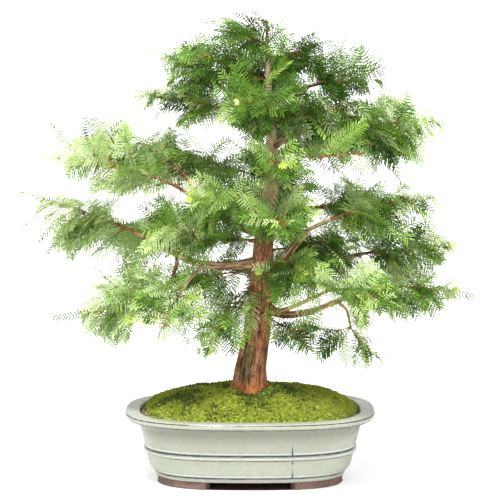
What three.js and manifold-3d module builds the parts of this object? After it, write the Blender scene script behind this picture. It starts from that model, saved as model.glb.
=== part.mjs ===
// A dawn redwood bonsai in a glazed oval pot, in millimetres, +Z up.
// The origin is the centre of the pot's footprint, on the surface that its four feet stand on.
// -Y is the front of the planting, and the first and longest bough reaches to -X.
//
// The tree is a tapering trunk with boughs, and masses of foliage at the boughs' tips and round the trunk.
// Each mass is a stem with side twigs, and flat sprays of needles that stand out of them.

import * as THREE from "three";
import { mergeVertices } from "three/addons/utils/BufferGeometryUtils.js";
import Module from "manifold-3d";

const wasm = await Module();
wasm.setup();

const UP = new THREE.Vector3(0, 0, 1);
const GAP = 0.35; // between neighbouring pieces

// ---------------------------------------------------------------- driving dimensions

// The pot, seen from above, is an oval with flattened sides.
const POT = {
  halfLength: 179.5,
  halfDepth: 136,
  squareness: 2.8, // 2 is an ellipse, more is squarer
  underside: 10.8, // the body's flat underside, above the feet
  floor: 18, // the top of the floor inside
  segments: 32,
};

// The outside of the pot from the underside to the rim, as [inset from the rim's outline, height].
const POT_OUTSIDE = [
  [45, 10.8],
  [43, 14.8],
  [44, 17.4],
  [41, 19],
  [36, 24.4],
  [30.8, 44.6],
  [27.6, 45.9],
  [27.2, 51],
  [29, 52.4],
  [24.5, 69.5],
  [20.5, 84.2],
  [16.5, 90.4],
  [3, 93],
  [0.2, 96.6],
  [3.4, 102.9],
];

// The inside from the rim down to the floor.
const POT_INSIDE = [
  [20, 102.9],
  [22.5, 100.9],
  [33, 62],
  [47, 18],
];

const FOOT = {
  height: 12.2, // its top is sunk in the underside
  outerInset: 46,
  innerInset: 61,
  halfGapFront: 64, // half the gap between two feet at the front and back
  halfGapEnd: 24, // half the gap at the two ends
  taper: 0.12, // how far each side leans in at the top, as a share of its width
  steps: 6,
};

// The soil's top and the moss on it, as [share of the inner half-length, height].
const SOIL_TOP = [
  [0.97, 94],
  [0.7, 108],
  [0.32, 118],
];
const MOSS_TOP = [
  [0.965, 103],
  [0.89, 113],
  [0.69, 124],
  [0.29, 133],
];
const MOSS = {
  under: 0.95, // its underside above the soil
  edgeUnder: 2.5, // the same at its edge, which hangs a little
  edgeTuck: 0.03, // how much smaller its lower edge is than its upper
  unevenEdge: 0.02,
  unevenTop: 0.035,
  unevenRise: 60,
  crest: 1, // its middle above its innermost ring
};
const BED_SEGMENTS = 28; // round the soil and the moss
const SOIL_ROOM = 1.6; // from the soil to the pot's inside, whose flats are cut by fewer corners
const OPENING_INSET = 21.5; // the opening's edge, from the rim's outline

// The trunk's middle line and radius, from the cut at the soil to the tip: [x, y, z, radius].
const TRUNK = [
  [-4, 0, 118.35, 30],
  [-2, 0, 130, 27.5],
  [0, 0, 141, 23.8],
  [1, 0, 156, 22.4],
  [5, 0, 181, 20.8],
  [10, 0, 209, 19.2],
  [13, 0, 243, 17.6],
  [15, 0, 277, 16.4],
  [20, 1, 345, 14.4],
  [27, 2, 400, 11.8],
  [31, 2, 450, 9.4],
  [29, 1, 507, 7],
  [27, 0, 543, 5.6],
  [26, 0, 581, 4.2],
  [25, 0, 617, 2.4],
];
const CROWN_X = 15; // the crown's middle, which the sprays face away from
const TRUNK_SIDES = 15;
const TRUNK_RINGS = 16;
const RING_CROWDING = 1.25; // more puts more of the rings near the foot
const FLARE = { reach: 15, share: 0.2, roots: 5, turn: 0.7 }; // the root flare: its height and depth
const FLUTES = { count: 3, share: 0.05, rise: 60 }; // rise is how far up they turn by a radian

// Boughs: their parent, their radius at the foot and the tip, and points on their middle line.
// The first point is inside the parent, whose surface cuts the bough's foot.
const BOUGHS = [
  {
    name: "bough_left_low",
    parent: "trunk",
    radii: [7.8, 2.8],
    through: [[14, 0, 313], [-39, -5, 309], [-84, -10, 316], [-127, -5, 337], [-165, 2, 356]],
  },
  {
    name: "bough_left_droop",
    parent: "bough_left_low",
    radii: [2.6, 1.8],
    through: [[-103, -9, 323], [-106, -13, 305], [-117, -20, 283], [-142, -28, 270]],
  },
  {
    name: "bough_left_low_front",
    parent: "bough_left_low",
    radii: [2.5, 1.8],
    through: [[-66, -8, 311], [-82, -30, 297], [-93, -48, 284]],
  },
  {
    name: "bough_left_low_back",
    parent: "bough_left_low",
    radii: [3, 2],
    through: [[-86, -9, 317], [-101, 26, 331], [-118, 50, 342]],
  },
  {
    name: "bough_left_high",
    parent: "trunk",
    radii: [6.2, 2.8],
    through: [[21, 0, 352], [-13, -8, 364], [-44, -15, 382], [-73, -22, 404], [-96, -25, 420]],
  },
  {
    name: "bough_left_high_up",
    parent: "bough_left_high",
    radii: [2.8, 2.1],
    through: [[-68, -20, 401], [-78, -9, 415], [-86, -2, 428]],
  },
  {
    name: "bough_right_low",
    parent: "trunk",
    radii: [6.8, 3],
    through: [[14, 0, 251], [47, -12, 240], [83, -25, 245], [118, -28, 259], [146, -25, 271]],
  },
  {
    name: "bough_right_hang",
    parent: "bough_right_low",
    radii: [2.1, 1.6],
    through: [[124, -28, 261], [137, -32, 248], [141, -35, 230]],
  },
  {
    name: "bough_right_low_front",
    parent: "bough_right_low",
    radii: [3.6, 2.2],
    through: [[40, -9, 242], [64, -38, 256], [88, -62, 271], [106, -82, 283]],
  },
  {
    name: "bough_right_mid",
    parent: "trunk",
    radii: [4.4, 2.8],
    through: [[15, -2, 290], [45, -19, 322], [78, -27, 360], [114, -29, 378]],
  },
  {
    name: "bough_right_mid_front",
    parent: "bough_right_mid",
    radii: [2.4, 1.7],
    through: [[83, -28, 364], [74, -50, 353], [59, -70, 337]],
  },
  {
    name: "bough_right_mid_back",
    parent: "trunk",
    radii: [4.2, 2.7],
    through: [[25, 2, 388], [58, 22, 388], [82, 36, 387]],
  },
  {
    name: "bough_right_out",
    parent: "trunk",
    radii: [4.6, 2.6],
    through: [[15, 0, 284], [58, 24, 296], [108, 35, 308], [150, 35, 318]],
  },
  {
    name: "bough_right_high",
    parent: "trunk",
    radii: [5, 3],
    through: [[30, 1, 478], [54, -4, 491], [84, -8, 504], [102, -8, 507]],
  },
  {
    name: "bough_right_top",
    parent: "trunk",
    radii: [3.4, 2.4],
    through: [[27, 0, 545], [50, 4, 551], [74, 8, 560]],
  },
  {
    name: "bough_left_top",
    parent: "trunk",
    radii: [5.2, 2.8],
    through: [[28, 0, 514], [1, -8, 523], [-18, -11, 541], [-32, -12, 557]],
  },
  {
    name: "bough_left_top_back",
    parent: "trunk",
    radii: [3.6, 2.5],
    through: [[30, 1, 494], [1, 15, 508], [-24, 25, 522]],
  },
];
const BOUGH_SIDES = 5;

// Masses of foliage: the limb that carries each, the middle and half-size of the space it fills, the points
// that it reaches, of which its stem runs to the first, and the number of forks where twigs leave the stem.
// A mass on the trunk also has the height at which its stem leaves it.
const MASSES = [
  {
    name: "foliage_left_low",
    limb: "bough_left_low",
    centre: [-228, -20, 364],
    half: [86, 78, 44],
    reach: [[-320, -20, 415], [-331, -75, 356], [-290, -45, 328]],
    forks: 5,
  },
  {
    name: "foliage_left_droop",
    limb: "bough_left_droop",
    centre: [-168, -42, 266],
    half: [74, 62, 62],
    reach: [[-280, -45, 240], [-229, -50, 207], [-190, -58, 192]],
    forks: 5,
  },
  {
    name: "foliage_left_low_front",
    limb: "bough_left_low_front",
    centre: [-122, -92, 272],
    half: [56, 60, 50],
    reach: [[-122, -145, 236], [-86, -90, 208]],
    forks: 3,
  },
  {
    name: "foliage_left_low_back",
    limb: "bough_left_low_back",
    centre: [-158, 85, 340],
    half: [76, 70, 50],
    reach: [[-215, 125, 340], [-130, 150, 345]],
    forks: 4,
  },
  {
    name: "foliage_left_near",
    limb: "trunk",
    height: 292,
    centre: [-40, -56, 246],
    half: [44, 46, 58],
    reach: [[-66, -68, 191], [-78, -70, 240]],
    forks: 3,
  },
  {
    name: "foliage_left_inner",
    limb: "trunk",
    height: 300,
    centre: [-62, 62, 290],
    half: [62, 60, 50],
    reach: [[-118, 110, 272]],
    forks: 4,
  },
  {
    name: "foliage_left_high",
    limb: "bough_left_high",
    centre: [-182, -24, 474],
    half: [78, 75, 54],
    reach: [[-293, -30, 466], [-225, -40, 414], [-233, 10, 521]],
    forks: 5,
  },
  {
    name: "foliage_left_high_up",
    limb: "bough_left_high_up",
    centre: [-118, 24, 474],
    half: [66, 62, 46],
    reach: [[-175, 50, 492]],
    forks: 4,
  },
  {
    name: "foliage_left_high_inner",
    limb: "trunk",
    height: 392,
    centre: [-46, -78, 424],
    half: [62, 66, 56],
    reach: [[-82, -135, 420]],
    forks: 5,
  },
  {
    name: "foliage_left_back",
    limb: "trunk",
    height: 338,
    centre: [-92, 120, 366],
    half: [85, 75, 52],
    reach: [[-140, 180, 366]],
    forks: 5,
  },
  {
    name: "foliage_left_high_back",
    limb: "trunk",
    height: 432,
    centre: [-85, 108, 458],
    half: [80, 72, 50],
    reach: [[-130, 165, 462]],
    forks: 5,
  },
  {
    name: "foliage_left_mid",
    limb: "trunk",
    height: 346,
    centre: [-94, -48, 374],
    half: [74, 58, 54],
    reach: [[-134, -62, 352], [-128, -50, 404]],
    forks: 4,
  },
  {
    name: "foliage_right_low",
    limb: "bough_right_low",
    centre: [204, -5, 278],
    half: [80, 66, 44],
    reach: [[323, 40, 263], [303, 0, 298], [277, -40, 248], [223, -35, 233]],
    forks: 4,
  },
  {
    name: "foliage_right_low_front",
    limb: "bough_right_low_front",
    centre: [140, -124, 288],
    half: [72, 68, 50],
    reach: [[190, -170, 284]],
    forks: 5,
  },
  {
    name: "foliage_right_hang",
    limb: "bough_right_hang",
    centre: [130, -42, 208],
    half: [60, 50, 44],
    reach: [[183, -35, 179], [140, -45, 168], [103, -50, 180]],
    forks: 3,
  },
  {
    name: "foliage_right_near",
    limb: "trunk",
    height: 240,
    centre: [66, -54, 224],
    half: [46, 42, 38],
    reach: [[78, -66, 196]],
    forks: 2,
  },
  {
    name: "foliage_right_mid_front",
    limb: "bough_right_mid_front",
    centre: [58, -104, 304],
    half: [56, 52, 50],
    reach: [[20, -110, 306], [71, -100, 258], [95, -135, 292]],
    forks: 3,
  },
  {
    name: "foliage_right_mid",
    limb: "bough_right_mid",
    centre: [184, -32, 390],
    half: [80, 66, 43],
    reach: [[261, -28, 410]],
    forks: 5,
  },
  {
    name: "foliage_right_mid_back",
    limb: "bough_right_mid_back",
    centre: [150, 92, 392],
    half: [86, 72, 48],
    reach: [[222, 135, 394]],
    forks: 5,
  },
  {
    name: "foliage_right_out",
    limb: "bough_right_out",
    centre: [200, 22, 330],
    half: [82, 62, 48],
    reach: [[290, 20, 331], [266, 45, 362]],
    forks: 5,
  },
  {
    name: "foliage_right_inner_back",
    limb: "trunk",
    height: 305,
    centre: [100, 102, 302],
    half: [76, 72, 52],
    reach: [[155, 150, 300]],
    forks: 5,
  },
  {
    name: "foliage_right_inner",
    limb: "trunk",
    height: 330,
    centre: [98, -12, 344],
    half: [72, 60, 40],
    reach: [[164, -4, 348]],
    forks: 4,
  },
  {
    name: "foliage_front_mid",
    limb: "trunk",
    height: 392,
    centre: [40, -106, 396],
    half: [66, 78, 46],
    reach: [[48, -196, 392]],
    forks: 5,
  },
  {
    name: "foliage_right_high",
    limb: "bough_right_high",
    centre: [176, -10, 500],
    half: [82, 74, 56],
    reach: [[275, 0, 512], [225, 0, 557], [234, -20, 464], [178, -35, 432]],
    forks: 5,
  },
  {
    name: "foliage_right_high_front",
    limb: "trunk",
    height: 462,
    centre: [112, -86, 484],
    half: [70, 70, 54],
    reach: [[160, -140, 486]],
    forks: 5,
  },
  {
    name: "foliage_right_high_back",
    limb: "trunk",
    height: 470,
    centre: [120, 94, 478],
    half: [78, 72, 52],
    reach: [[170, 145, 482]],
    forks: 5,
  },
  {
    name: "foliage_right_top",
    limb: "bough_right_top",
    centre: [126, 14, 592],
    half: [60, 62, 44],
    reach: [[197, 15, 572], [136, 20, 634]],
    forks: 4,
  },
  {
    name: "foliage_right_upper",
    limb: "trunk",
    height: 516,
    centre: [100, -48, 545],
    half: [68, 62, 46],
    reach: [[152, -66, 548]],
    forks: 4,
  },
  {
    name: "foliage_front_high",
    limb: "trunk",
    height: 448,
    centre: [40, -102, 478],
    half: [58, 76, 50],
    reach: [[34, -168, 478]],
    forks: 5,
  },
  {
    name: "foliage_left_top",
    limb: "bough_left_top",
    centre: [-68, -14, 594],
    half: [52, 60, 44],
    reach: [[-152, -10, 622], [-92, -10, 632]],
    forks: 4,
  },
  {
    name: "foliage_left_crown",
    limb: "trunk",
    height: 572,
    centre: [-46, -12, 612],
    half: [60, 62, 44],
    reach: [[-84, -34, 622]],
    forks: 4,
  },
  {
    name: "foliage_left_top_back",
    limb: "bough_left_top_back",
    centre: [-86, 36, 538],
    half: [62, 66, 36],
    reach: [[-171, 20, 549], [-120, 78, 538]],
    forks: 4,
  },
  {
    name: "foliage_top",
    limb: "trunk_tip",
    centre: [-14, 0, 630],
    half: [74, 64, 38],
    reach: [[24, 0, 658], [-22, 0, 668], [-77, 0, 658]],
    forks: 3,
  },
  {
    name: "foliage_top_right",
    limb: "trunk",
    height: 578,
    centre: [80, 2, 610],
    half: [62, 60, 38],
    reach: [[116, 5, 630]],
    forks: 4,
  },
  {
    name: "foliage_front_top",
    limb: "trunk",
    height: 540,
    centre: [4, -80, 568],
    half: [76, 68, 58],
    reach: [[-10, -148, 560]],
    forks: 5,
  },
  {
    name: "foliage_back_high",
    limb: "trunk",
    height: 508,
    centre: [22, 118, 528],
    half: [76, 80, 52],
    reach: [[26, 188, 526]],
    forks: 5,
  },
  {
    name: "foliage_back_top",
    limb: "trunk",
    height: 566,
    centre: [26, 84, 596],
    half: [76, 66, 48],
    reach: [[30, 140, 602]],
    forks: 5,
  },
  {
    name: "foliage_back_mid",
    limb: "trunk",
    height: 385,
    centre: [34, 134, 410],
    half: [76, 80, 52],
    reach: [[40, 200, 404]],
    forks: 5,
  },
  {
    name: "foliage_back_low",
    limb: "trunk",
    height: 268,
    centre: [10, 126, 286],
    half: [70, 78, 48],
    reach: [[6, 194, 276]],
    forks: 4,
  },
];

const SEED = 302;

// How a mass grows. A shoot is a stem or a side twig, with a flat spray of needles as its end.
const SHOOT = {
  stemRadius: 2,
  twigRadius: 1.4,
  tipRadius: 0.95,
  lead: 0.35, // how far it follows its first direction, of its length
  follow: 0.35, // how much of that direction is its parent's
  followBough: 0.9, // the same for a stem that goes on from a bough's tip
  forks: [0.14, 0.86], // where twigs leave the stem, as shares of the part that is no spray
  turn: [35, 110], // degrees from the stem to a side twig
  rise: [-0.9, 0.5],
  reach: [45, 130],
  roll: [45, 80], // degrees that a spray's face is turned from facing up
  tries: 36, // for each twig
};
const SPRAY = {
  length: 120,
  halfWidth: 0.37, // of its length
  halfThickness: 0.95,
  smallest: 0.42, // of its full size
  reaching: 0.63, // at the points that a mass reaches
  mingling: 0.35, // how far it may pass the middle between two masses, as a share of their size
  free: 0.25, // the share of a shoot by its root that may touch its own mass
};
// One side of a spray's toothed outline, as [share of its length, of its half-width].
const SPRAY_EDGE = [[0.15, 0.7], [0.28, 0.34], [0.44, 1], [0.56, 0.38], [0.74, 0.64]];
const SPRAY_MIDDLE = 0.38; // where it is thickest
const CLEARANCE = 0.5; // kept round foliage when it is tried against what stands near it
const LIMB_ROOM = 6; // kept between the middle lines of a shoot and of a limb

// ---------------------------------------------------------------- colours

const finish = (color, roughness) => new THREE.MeshStandardMaterial({ color, roughness, metalness: 0 });
const MATERIAL = {
  glaze: finish(0xd9ddd0, 0.25),
  soil: finish(0x4a3626, 0.95),
  moss: finish(0x6f8a1f, 0.95),
  bark: finish(0x9a5a3c, 0.85),
  needles: finish(0x5f9a3c, 0.6),
};

// ---------------------------------------------------------------- shapes

const vector = (p) => new THREE.Vector3(...p);
const lerp = THREE.MathUtils.lerp;
const radians = THREE.MathUtils.degToRad;

// A repeatable stream of numbers from 0 to 1.
function randomStream(seed) {
  let state = seed;
  return () => {
    state = (state + 0x6d2b79f5) | 0;
    let t = Math.imul(state ^ (state >>> 15), 1 | state);
    t = (t + Math.imul(t ^ (t >>> 7), 61 | t)) ^ t;
    return ((t ^ (t >>> 14)) >>> 0) / 4294967296;
  };
}

// The closed surface through a row of rings. A ring is a loop of points, anticlockwise about the way that
// the row runs, or one point where the shape comes to an end there.
function loft(rings) {
  const positions = [];
  const index = [];
  const first = rings.map((ring) => {
    const start = positions.length / 3;
    ring.forEach((p) => positions.push(p.x, p.y, p.z));
    return start;
  });
  const sides = Math.max(...rings.map((ring) => ring.length));
  const at = (i, j) => first[i] + (rings[i].length === 1 ? 0 : j % sides);
  for (let i = 0; i + 1 < rings.length; i++)
    for (let j = 0; j < sides; j++) {
      if (rings[i].length > 1) index.push(at(i, j), at(i, j + 1), at(i + 1, j + 1));
      if (rings[i + 1].length > 1) index.push(at(i, j), at(i + 1, j + 1), at(i + 1, j));
    }
  const last = rings.length - 1;
  for (let j = 1; j + 1 < sides; j++) {
    if (rings[0].length > 1) index.push(at(0, 0), at(0, j + 1), at(0, j));
    if (rings[last].length > 1) index.push(at(last, 0), at(last, j), at(last, j + 1));
  }
  const geometry = new THREE.BufferGeometry();
  geometry.setAttribute("position", new THREE.Float32BufferAttribute(positions, 3));
  geometry.setIndex(index);
  return geometry;
}

// A round limb along a curve. radius(share) is its radius at each share of its length; 0 gives a point.
function limbGeometry(curve, radius, sides, steps) {
  const frames = curve.computeFrenetFrames(steps, false);
  const rings = [];
  for (let i = 0; i <= steps; i++) {
    const centre = curve.getPointAt(i / steps);
    const r = radius(i / steps);
    const ring = [];
    for (let j = 0; j < (r > 0 ? sides : 1); j++) {
      const angle = (2 * Math.PI * j) / sides;
      ring.push(
        centre
          .clone()
          .addScaledVector(frames.normals[i], r * Math.cos(angle))
          .addScaledVector(frames.binormals[i], r * Math.sin(angle)),
      );
    }
    rings.push(ring);
  }
  return loft(rings);
}

function solidOf(geometry) {
  const bare = geometry.clone();
  bare.deleteAttribute("normal");
  bare.deleteAttribute("uv");
  const merged = mergeVertices(bare, 1e-4);
  return new wasm.Manifold(
    new wasm.Mesh({
      numProp: 3,
      vertProperties: new Float32Array(merged.attributes.position.array),
      triVerts: new Uint32Array(merged.index.array),
    }),
  );
}

function geometryOf(solid) {
  const mesh = solid.getMesh();
  const geometry = new THREE.BufferGeometry();
  const positions = new Float32Array(mesh.numVert * 3);
  for (let i = 0; i < mesh.numVert; i++)
    positions.set(mesh.vertProperties.subarray(i * mesh.numProp, i * mesh.numProp + 3), i * 3);
  geometry.setAttribute("position", new THREE.BufferAttribute(positions, 3));
  geometry.setIndex(new THREE.BufferAttribute(new Uint32Array(mesh.triVerts), 1));
  return geometry;
}

// The largest body of a solid, with any hollow that is sealed in it filled.
function largestBody(solid) {
  return solid.decompose().reduce((a, b) => (b.volume() > a.volume() ? b : a));
}

const tree = new THREE.Group();

function addNode(name, geometry, material) {
  geometry.computeVertexNormals();
  const mesh = new THREE.Mesh(geometry, material);
  mesh.name = name;
  tree.add(mesh);
}

// ---------------------------------------------------------------- pot, feet, soil and moss

// A point of the oval that lies a given inset inside the rim's outline, at an angle from +X.
function ovalPoint(inset, angle, z) {
  const power = 2 / POT.squareness;
  const c = Math.cos(angle);
  const s = Math.sin(angle);
  return new THREE.Vector3(
    (POT.halfLength - inset) * Math.sign(c) * Math.abs(c) ** power,
    (POT.halfDepth - inset) * Math.sign(s) * Math.abs(s) ** power,
    z,
  );
}

function ovalRing(inset, z, segments = POT.segments) {
  return Array.from({ length: segments }, (_, j) => ovalPoint(inset, (2 * Math.PI * j) / segments, z));
}

// A ring at a share of the opening's size, for the soil and the moss.
function bedRing(share, z) {
  return ovalRing(OPENING_INSET, z, BED_SEGMENTS).map((p) => new THREE.Vector3(p.x * share, p.y * share, z));
}

const middle = (z) => [new THREE.Vector3(0, 0, z)];

function potGeometry() {
  const profile = [...POT_OUTSIDE, ...POT_INSIDE];
  return loft([middle(POT.underside), ...profile.map(([inset, z]) => ovalRing(inset, z)), middle(POT.floor)]);
}

// One foot follows the pot's underside round a quarter, and is mirrored to the other three.
function footGeometry(mirrorX, mirrorY) {
  const angleAt = (share) => Math.acos(share ** (POT.squareness / 2));
  const from = Math.PI / 2 - angleAt(FOOT.halfGapEnd / (POT.halfDepth - FOOT.outerInset));
  const to = angleAt(FOOT.halfGapFront / (POT.halfLength - FOOT.outerInset));
  const rings = [];
  for (let i = 0; i <= FOOT.steps; i++) {
    const angle = lerp(from, to, i / FOOT.steps);
    const outer = ovalPoint(FOOT.outerInset, angle, 0);
    const inner = ovalPoint(FOOT.innerInset, angle, 0);
    const raised = (p, inward) => p.clone().lerp(inward, FOOT.taper).setZ(FOOT.height);
    rings.push([inner, raised(inner, outer), raised(outer, inner), outer]);
  }
  const geometry = loft(rings);
  const flipped = mirrorX * mirrorY < 0;
  geometry.scale(mirrorX, mirrorY, 1);
  if (flipped) {
    const index = geometry.index.array;
    for (let i = 0; i < index.length; i += 3) [index[i + 1], index[i + 2]] = [index[i + 2], index[i + 1]];
  }
  return geometry;
}

function soilGeometry() {
  const side = POT_INSIDE.filter(([, z]) => z < SOIL_TOP[0][1]).reverse();
  return loft([
    middle(POT.floor + GAP),
    ...side.map(([inset, z]) => ovalRing(inset + SOIL_ROOM, Math.max(z, POT.floor + GAP), BED_SEGMENTS)),
    ...SOIL_TOP.map(([share, z]) => bedRing(share, z)),
    middle(SOIL_TOP.at(-1)[1]),
  ]);
}

// The moss lies on the soil with an uneven top, and is cut clear of the trunk's foot.
function mossGeometry(trunkRoom) {
  const [edge, ...top] = MOSS_TOP;
  const under = SOIL_TOP.slice(1).reverse();
  const random = randomStream(7);
  const uneven = (ring, size) =>
    ring.map((p) => {
      const swell = 1 + size * (random() - 0.5);
      const rise = MOSS.unevenRise * size * (random() - 0.5);
      return new THREE.Vector3(p.x * swell, p.y * swell, p.z + rise);
    });
  const blanket = loft([
    middle(SOIL_TOP.at(-1)[1] + GAP),
    ...under.map(([share, z]) => bedRing(share, z + MOSS.under)),
    bedRing(edge[0] - MOSS.edgeTuck, lerp(SOIL_TOP[0][1], SOIL_TOP[1][1], 0.3) + MOSS.edgeUnder),
    uneven(bedRing(...edge), MOSS.unevenEdge),
    ...top.map(([share, z]) => uneven(bedRing(share, z), MOSS.unevenTop)),
    middle(MOSS_TOP.at(-1)[1] + MOSS.crest),
  ]);
  return geometryOf(largestBody(solidOf(blanket).subtract(trunkRoom)));
}

// ---------------------------------------------------------------- trunk and boughs

const trunkLine = new THREE.CatmullRomCurve3(TRUNK.map((row) => vector(row)), false, "centripetal");
const trunkHeights = TRUNK.map((row) => row[2]);

// The share of the trunk's own parameter at a height, and from that its middle and radius.
function trunkAt(z) {
  const k = Math.min(trunkHeights.filter((h) => h <= z).length - 1, TRUNK.length - 2);
  const share = THREE.MathUtils.clamp((z - trunkHeights[k]) / (trunkHeights[k + 1] - trunkHeights[k]), 0, 1);
  return {
    centre: trunkLine.getPoint((k + share) / (TRUNK.length - 1)),
    radius: lerp(TRUNK[k][3], TRUNK[k + 1][3], share),
  };
}

// The trunk is fluted, and spreads into roots at its foot. grow makes it that much thicker.
function trunkGeometry(grow) {
  const bottom = trunkHeights[0];
  const top = trunkHeights.at(-1);
  const rings = [];
  for (let i = 0; i < TRUNK_RINGS; i++) {
    const z = lerp(bottom, top, (i / (TRUNK_RINGS - 1)) ** RING_CROWDING);
    const { centre, radius } = trunkAt(z);
    const flare = FLARE.share * Math.exp((bottom - z) / FLARE.reach);
    const ring = [];
    for (let j = 0; j < TRUNK_SIDES; j++) {
      const angle = (2 * Math.PI * j) / TRUNK_SIDES;
      const root = 0.5 + 0.5 * Math.cos(FLARE.roots * angle + FLARE.turn);
      const flute = FLUTES.share * Math.cos(FLUTES.count * angle - z / FLUTES.rise);
      const r = radius * (1 + flare * root + flute) + grow;
      ring.push(new THREE.Vector3(centre.x + r * Math.cos(angle), centre.y + r * Math.sin(angle), z));
    }
    rings.push(ring);
  }
  if (grow) {
    rings.unshift(rings[0].map((p) => p.clone().setZ(p.z - 2 * grow)));
    rings.push(middleOf(rings.at(-1), 2 * grow));
  }
  return loft(rings);
}

const middleOf = (ring, rise) => [
  ring
    .reduce((sum, p) => sum.add(p), new THREE.Vector3())
    .divideScalar(ring.length)
    .add(new THREE.Vector3(0, 0, rise)),
];

function boughCurve(bough) {
  return new THREE.CatmullRomCurve3(bough.through.map(vector), false, "centripetal");
}

function boughGeometry(bough, grow) {
  const radius = (share) => lerp(bough.radii[0], bough.radii[1], share) + grow;
  return limbGeometry(boughCurve(bough), radius, BOUGH_SIDES, bough.through.length + 1);
}

// ---------------------------------------------------------------- foliage

// How far out in a mass' space a point lies: 0 at its middle and 1 at its edge.
function depthIn(space, p) {
  return Math.hypot(
    (p.x - space.centre.x) / space.half.x,
    (p.y - space.centre.y) / space.half.y,
    (p.z - space.centre.z) / space.half.z,
  );
}

// A mass' space is an egg round its middle, grown until it holds all the points that it reaches.
function spaceOf(mass) {
  const space = { centre: vector(mass.centre), half: vector(mass.half) };
  const needed = Math.max(1, ...mass.reach.map((p) => depthIn(space, vector(p))));
  space.half.multiplyScalar(1.03 * needed);
  return space;
}

// Where a mass' stem starts, and which way it leaves its limb.
function stemRoot(mass) {
  if (mass.limb === "trunk") {
    const { centre } = trunkAt(mass.height);
    const out = vector(mass.centre).sub(centre).setZ(0).normalize();
    return { point: centre, direction: out };
  }
  if (mass.limb === "trunk_tip") {
    const point = vector(TRUNK.at(-1)).add(new THREE.Vector3(0, 0, GAP));
    return { point, direction: UP.clone() };
  }
  const curve = boughCurve(BOUGHS.find((b) => b.name === mass.limb));
  const direction = curve.getTangentAt(1);
  return { point: curve.getPointAt(1).addScaledVector(direction, GAP), direction };
}

// A curve from a point on its parent, which leads off between its parent's direction and its end's.
function shootCurve(from, parentDirection, to, follow) {
  const way = to.clone().sub(from);
  const reach = way.length();
  const lead = way.normalize().lerp(parentDirection, follow).normalize();
  return new THREE.QuadraticBezierCurve3(from, from.clone().addScaledVector(lead, SHOOT.lead * reach), to);
}

// The part of a shoot that is twig. The rest is its spray.
function twigShare({ curve, size }) {
  return 1 - Math.min((size * SPRAY.length) / curve.getLength(), 0.75);
}

// How far a line from a point in a mass' space runs to the edge of the space.
function edgeOfSpace(space, from, direction) {
  let reach = 10;
  while (depthIn(space, from.clone().addScaledVector(direction, reach)) < 0.97 && reach < 300) reach += 5;
  return reach;
}

// A shoot along a curve, with a spray of a size. The spray faces up, turned about the shoot towards the
// outside of the tree.
function shoot(curve, radius, size, random) {
  const chord = curve.getPoint(1).sub(curve.getPoint(0)).normalize();
  const normal = UP.clone().addScaledVector(chord, -UP.dot(chord)).normalize();
  const tip = curve.getPoint(1);
  const out = new THREE.Vector3(tip.x - CROWN_X, 2 * tip.y, 0);
  const hand = Math.sign(normal.clone().cross(out).dot(chord)) || 1;
  normal.applyAxisAngle(chord, hand * radians(lerp(...SHOOT.roll, random())));
  return { curve, radius, size, normal };
}

// The stem of a mass, which runs to the first point that the mass reaches.
function stemOf(mass, random) {
  const root = stemRoot(mass);
  const follow = mass.limb === "trunk" ? SHOOT.follow : SHOOT.followBough;
  const curve = shootCurve(root.point, root.direction, vector(mass.reach[0]), follow);
  return shoot(curve, SHOOT.stemRadius, SPRAY.reaching, random);
}

// The places along a stem where two twigs or fewer leave it.
function forksOf(mass, stem) {
  const twig = twigShare(stem);
  return Array.from({ length: mass.forks }, (_, k) => twig * lerp(...SHOOT.forks, (k + 0.5) / mass.forks));
}

// A twig from the stem to one of the mass' further points. It leaves at the fork that suits it best.
function reachingTwig(stem, forks, point, size, random) {
  const end = vector(point);
  const slant = (share) => {
    const way = end.clone().sub(stem.curve.getPointAt(share));
    return Math.abs(radians(58) - way.angleTo(stem.curve.getTangentAt(share))) + way.length() / 130;
  };
  const share = forks.reduce((best, next) => (slant(next) < slant(best) ? next : best));
  const curve = shootCurve(stem.curve.getPointAt(share), stem.curve.getTangentAt(share), end, SHOOT.follow);
  return { ...shoot(curve, SHOOT.twigRadius, size, random), share };
}

// A twig that leaves the stem at a share of its length, to its left or right, and runs to the space's edge.
function seededTwig(space, stem, share, hand, size, random) {
  const from = stem.curve.getPointAt(share);
  const tangent = stem.curve.getTangentAt(share);
  const direction = tangent.clone().setZ(0).normalize();
  direction.applyAxisAngle(UP, hand * radians(lerp(...SHOOT.turn, random())));
  direction.z = lerp(...SHOOT.rise, random());
  direction.normalize();
  const reach = THREE.MathUtils.clamp(edgeOfSpace(space, from, direction), ...SHOOT.reach);
  const end = from.clone().addScaledVector(direction, reach);
  return { ...shoot(shootCurve(from, tangent, end, SHOOT.follow), SHOOT.twigRadius, size, random), share };
}

// The middle line, the facing and the side of a shoot at a share of its length, as a function of how far
// to the side and up a point is.
function frameAt({ curve, normal }, share) {
  const tangent = curve.getTangentAt(share);
  const up = normal.clone().addScaledVector(tangent, -normal.dot(tangent)).normalize();
  const side = up.clone().cross(tangent);
  const centre = curve.getPointAt(share);
  return (across, rise) => centre.clone().addScaledVector(side, across).addScaledVector(up, rise);
}

// Whether a shoot stays in its mass' space, nearer to that mass' middle than to any other's, and clear of
// the limbs' middle lines.
function keepsToSpace(twig, own, spaces) {
  const half = 0.8 * SPRAY.halfWidth * SPRAY.length * twig.size;
  const probes = [[0.35, 0], [0.6, half], [0.6, -half], [0.8, half], [0.8, -half], [1, 0]];
  return probes.every(([share, across]) => {
    const p = frameAt(twig, share)(across, 0);
    const depth = depthIn(own, p);
    return (
      depth < 1.1 &&
      spaces.every((other) => other === own || depthIn(other, p) > depth - SPRAY.mingling) &&
      limbPoints.every(({ point, radius }) => point.distanceTo(p) > radius + LIMB_ROOM)
    );
  });
}

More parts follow.
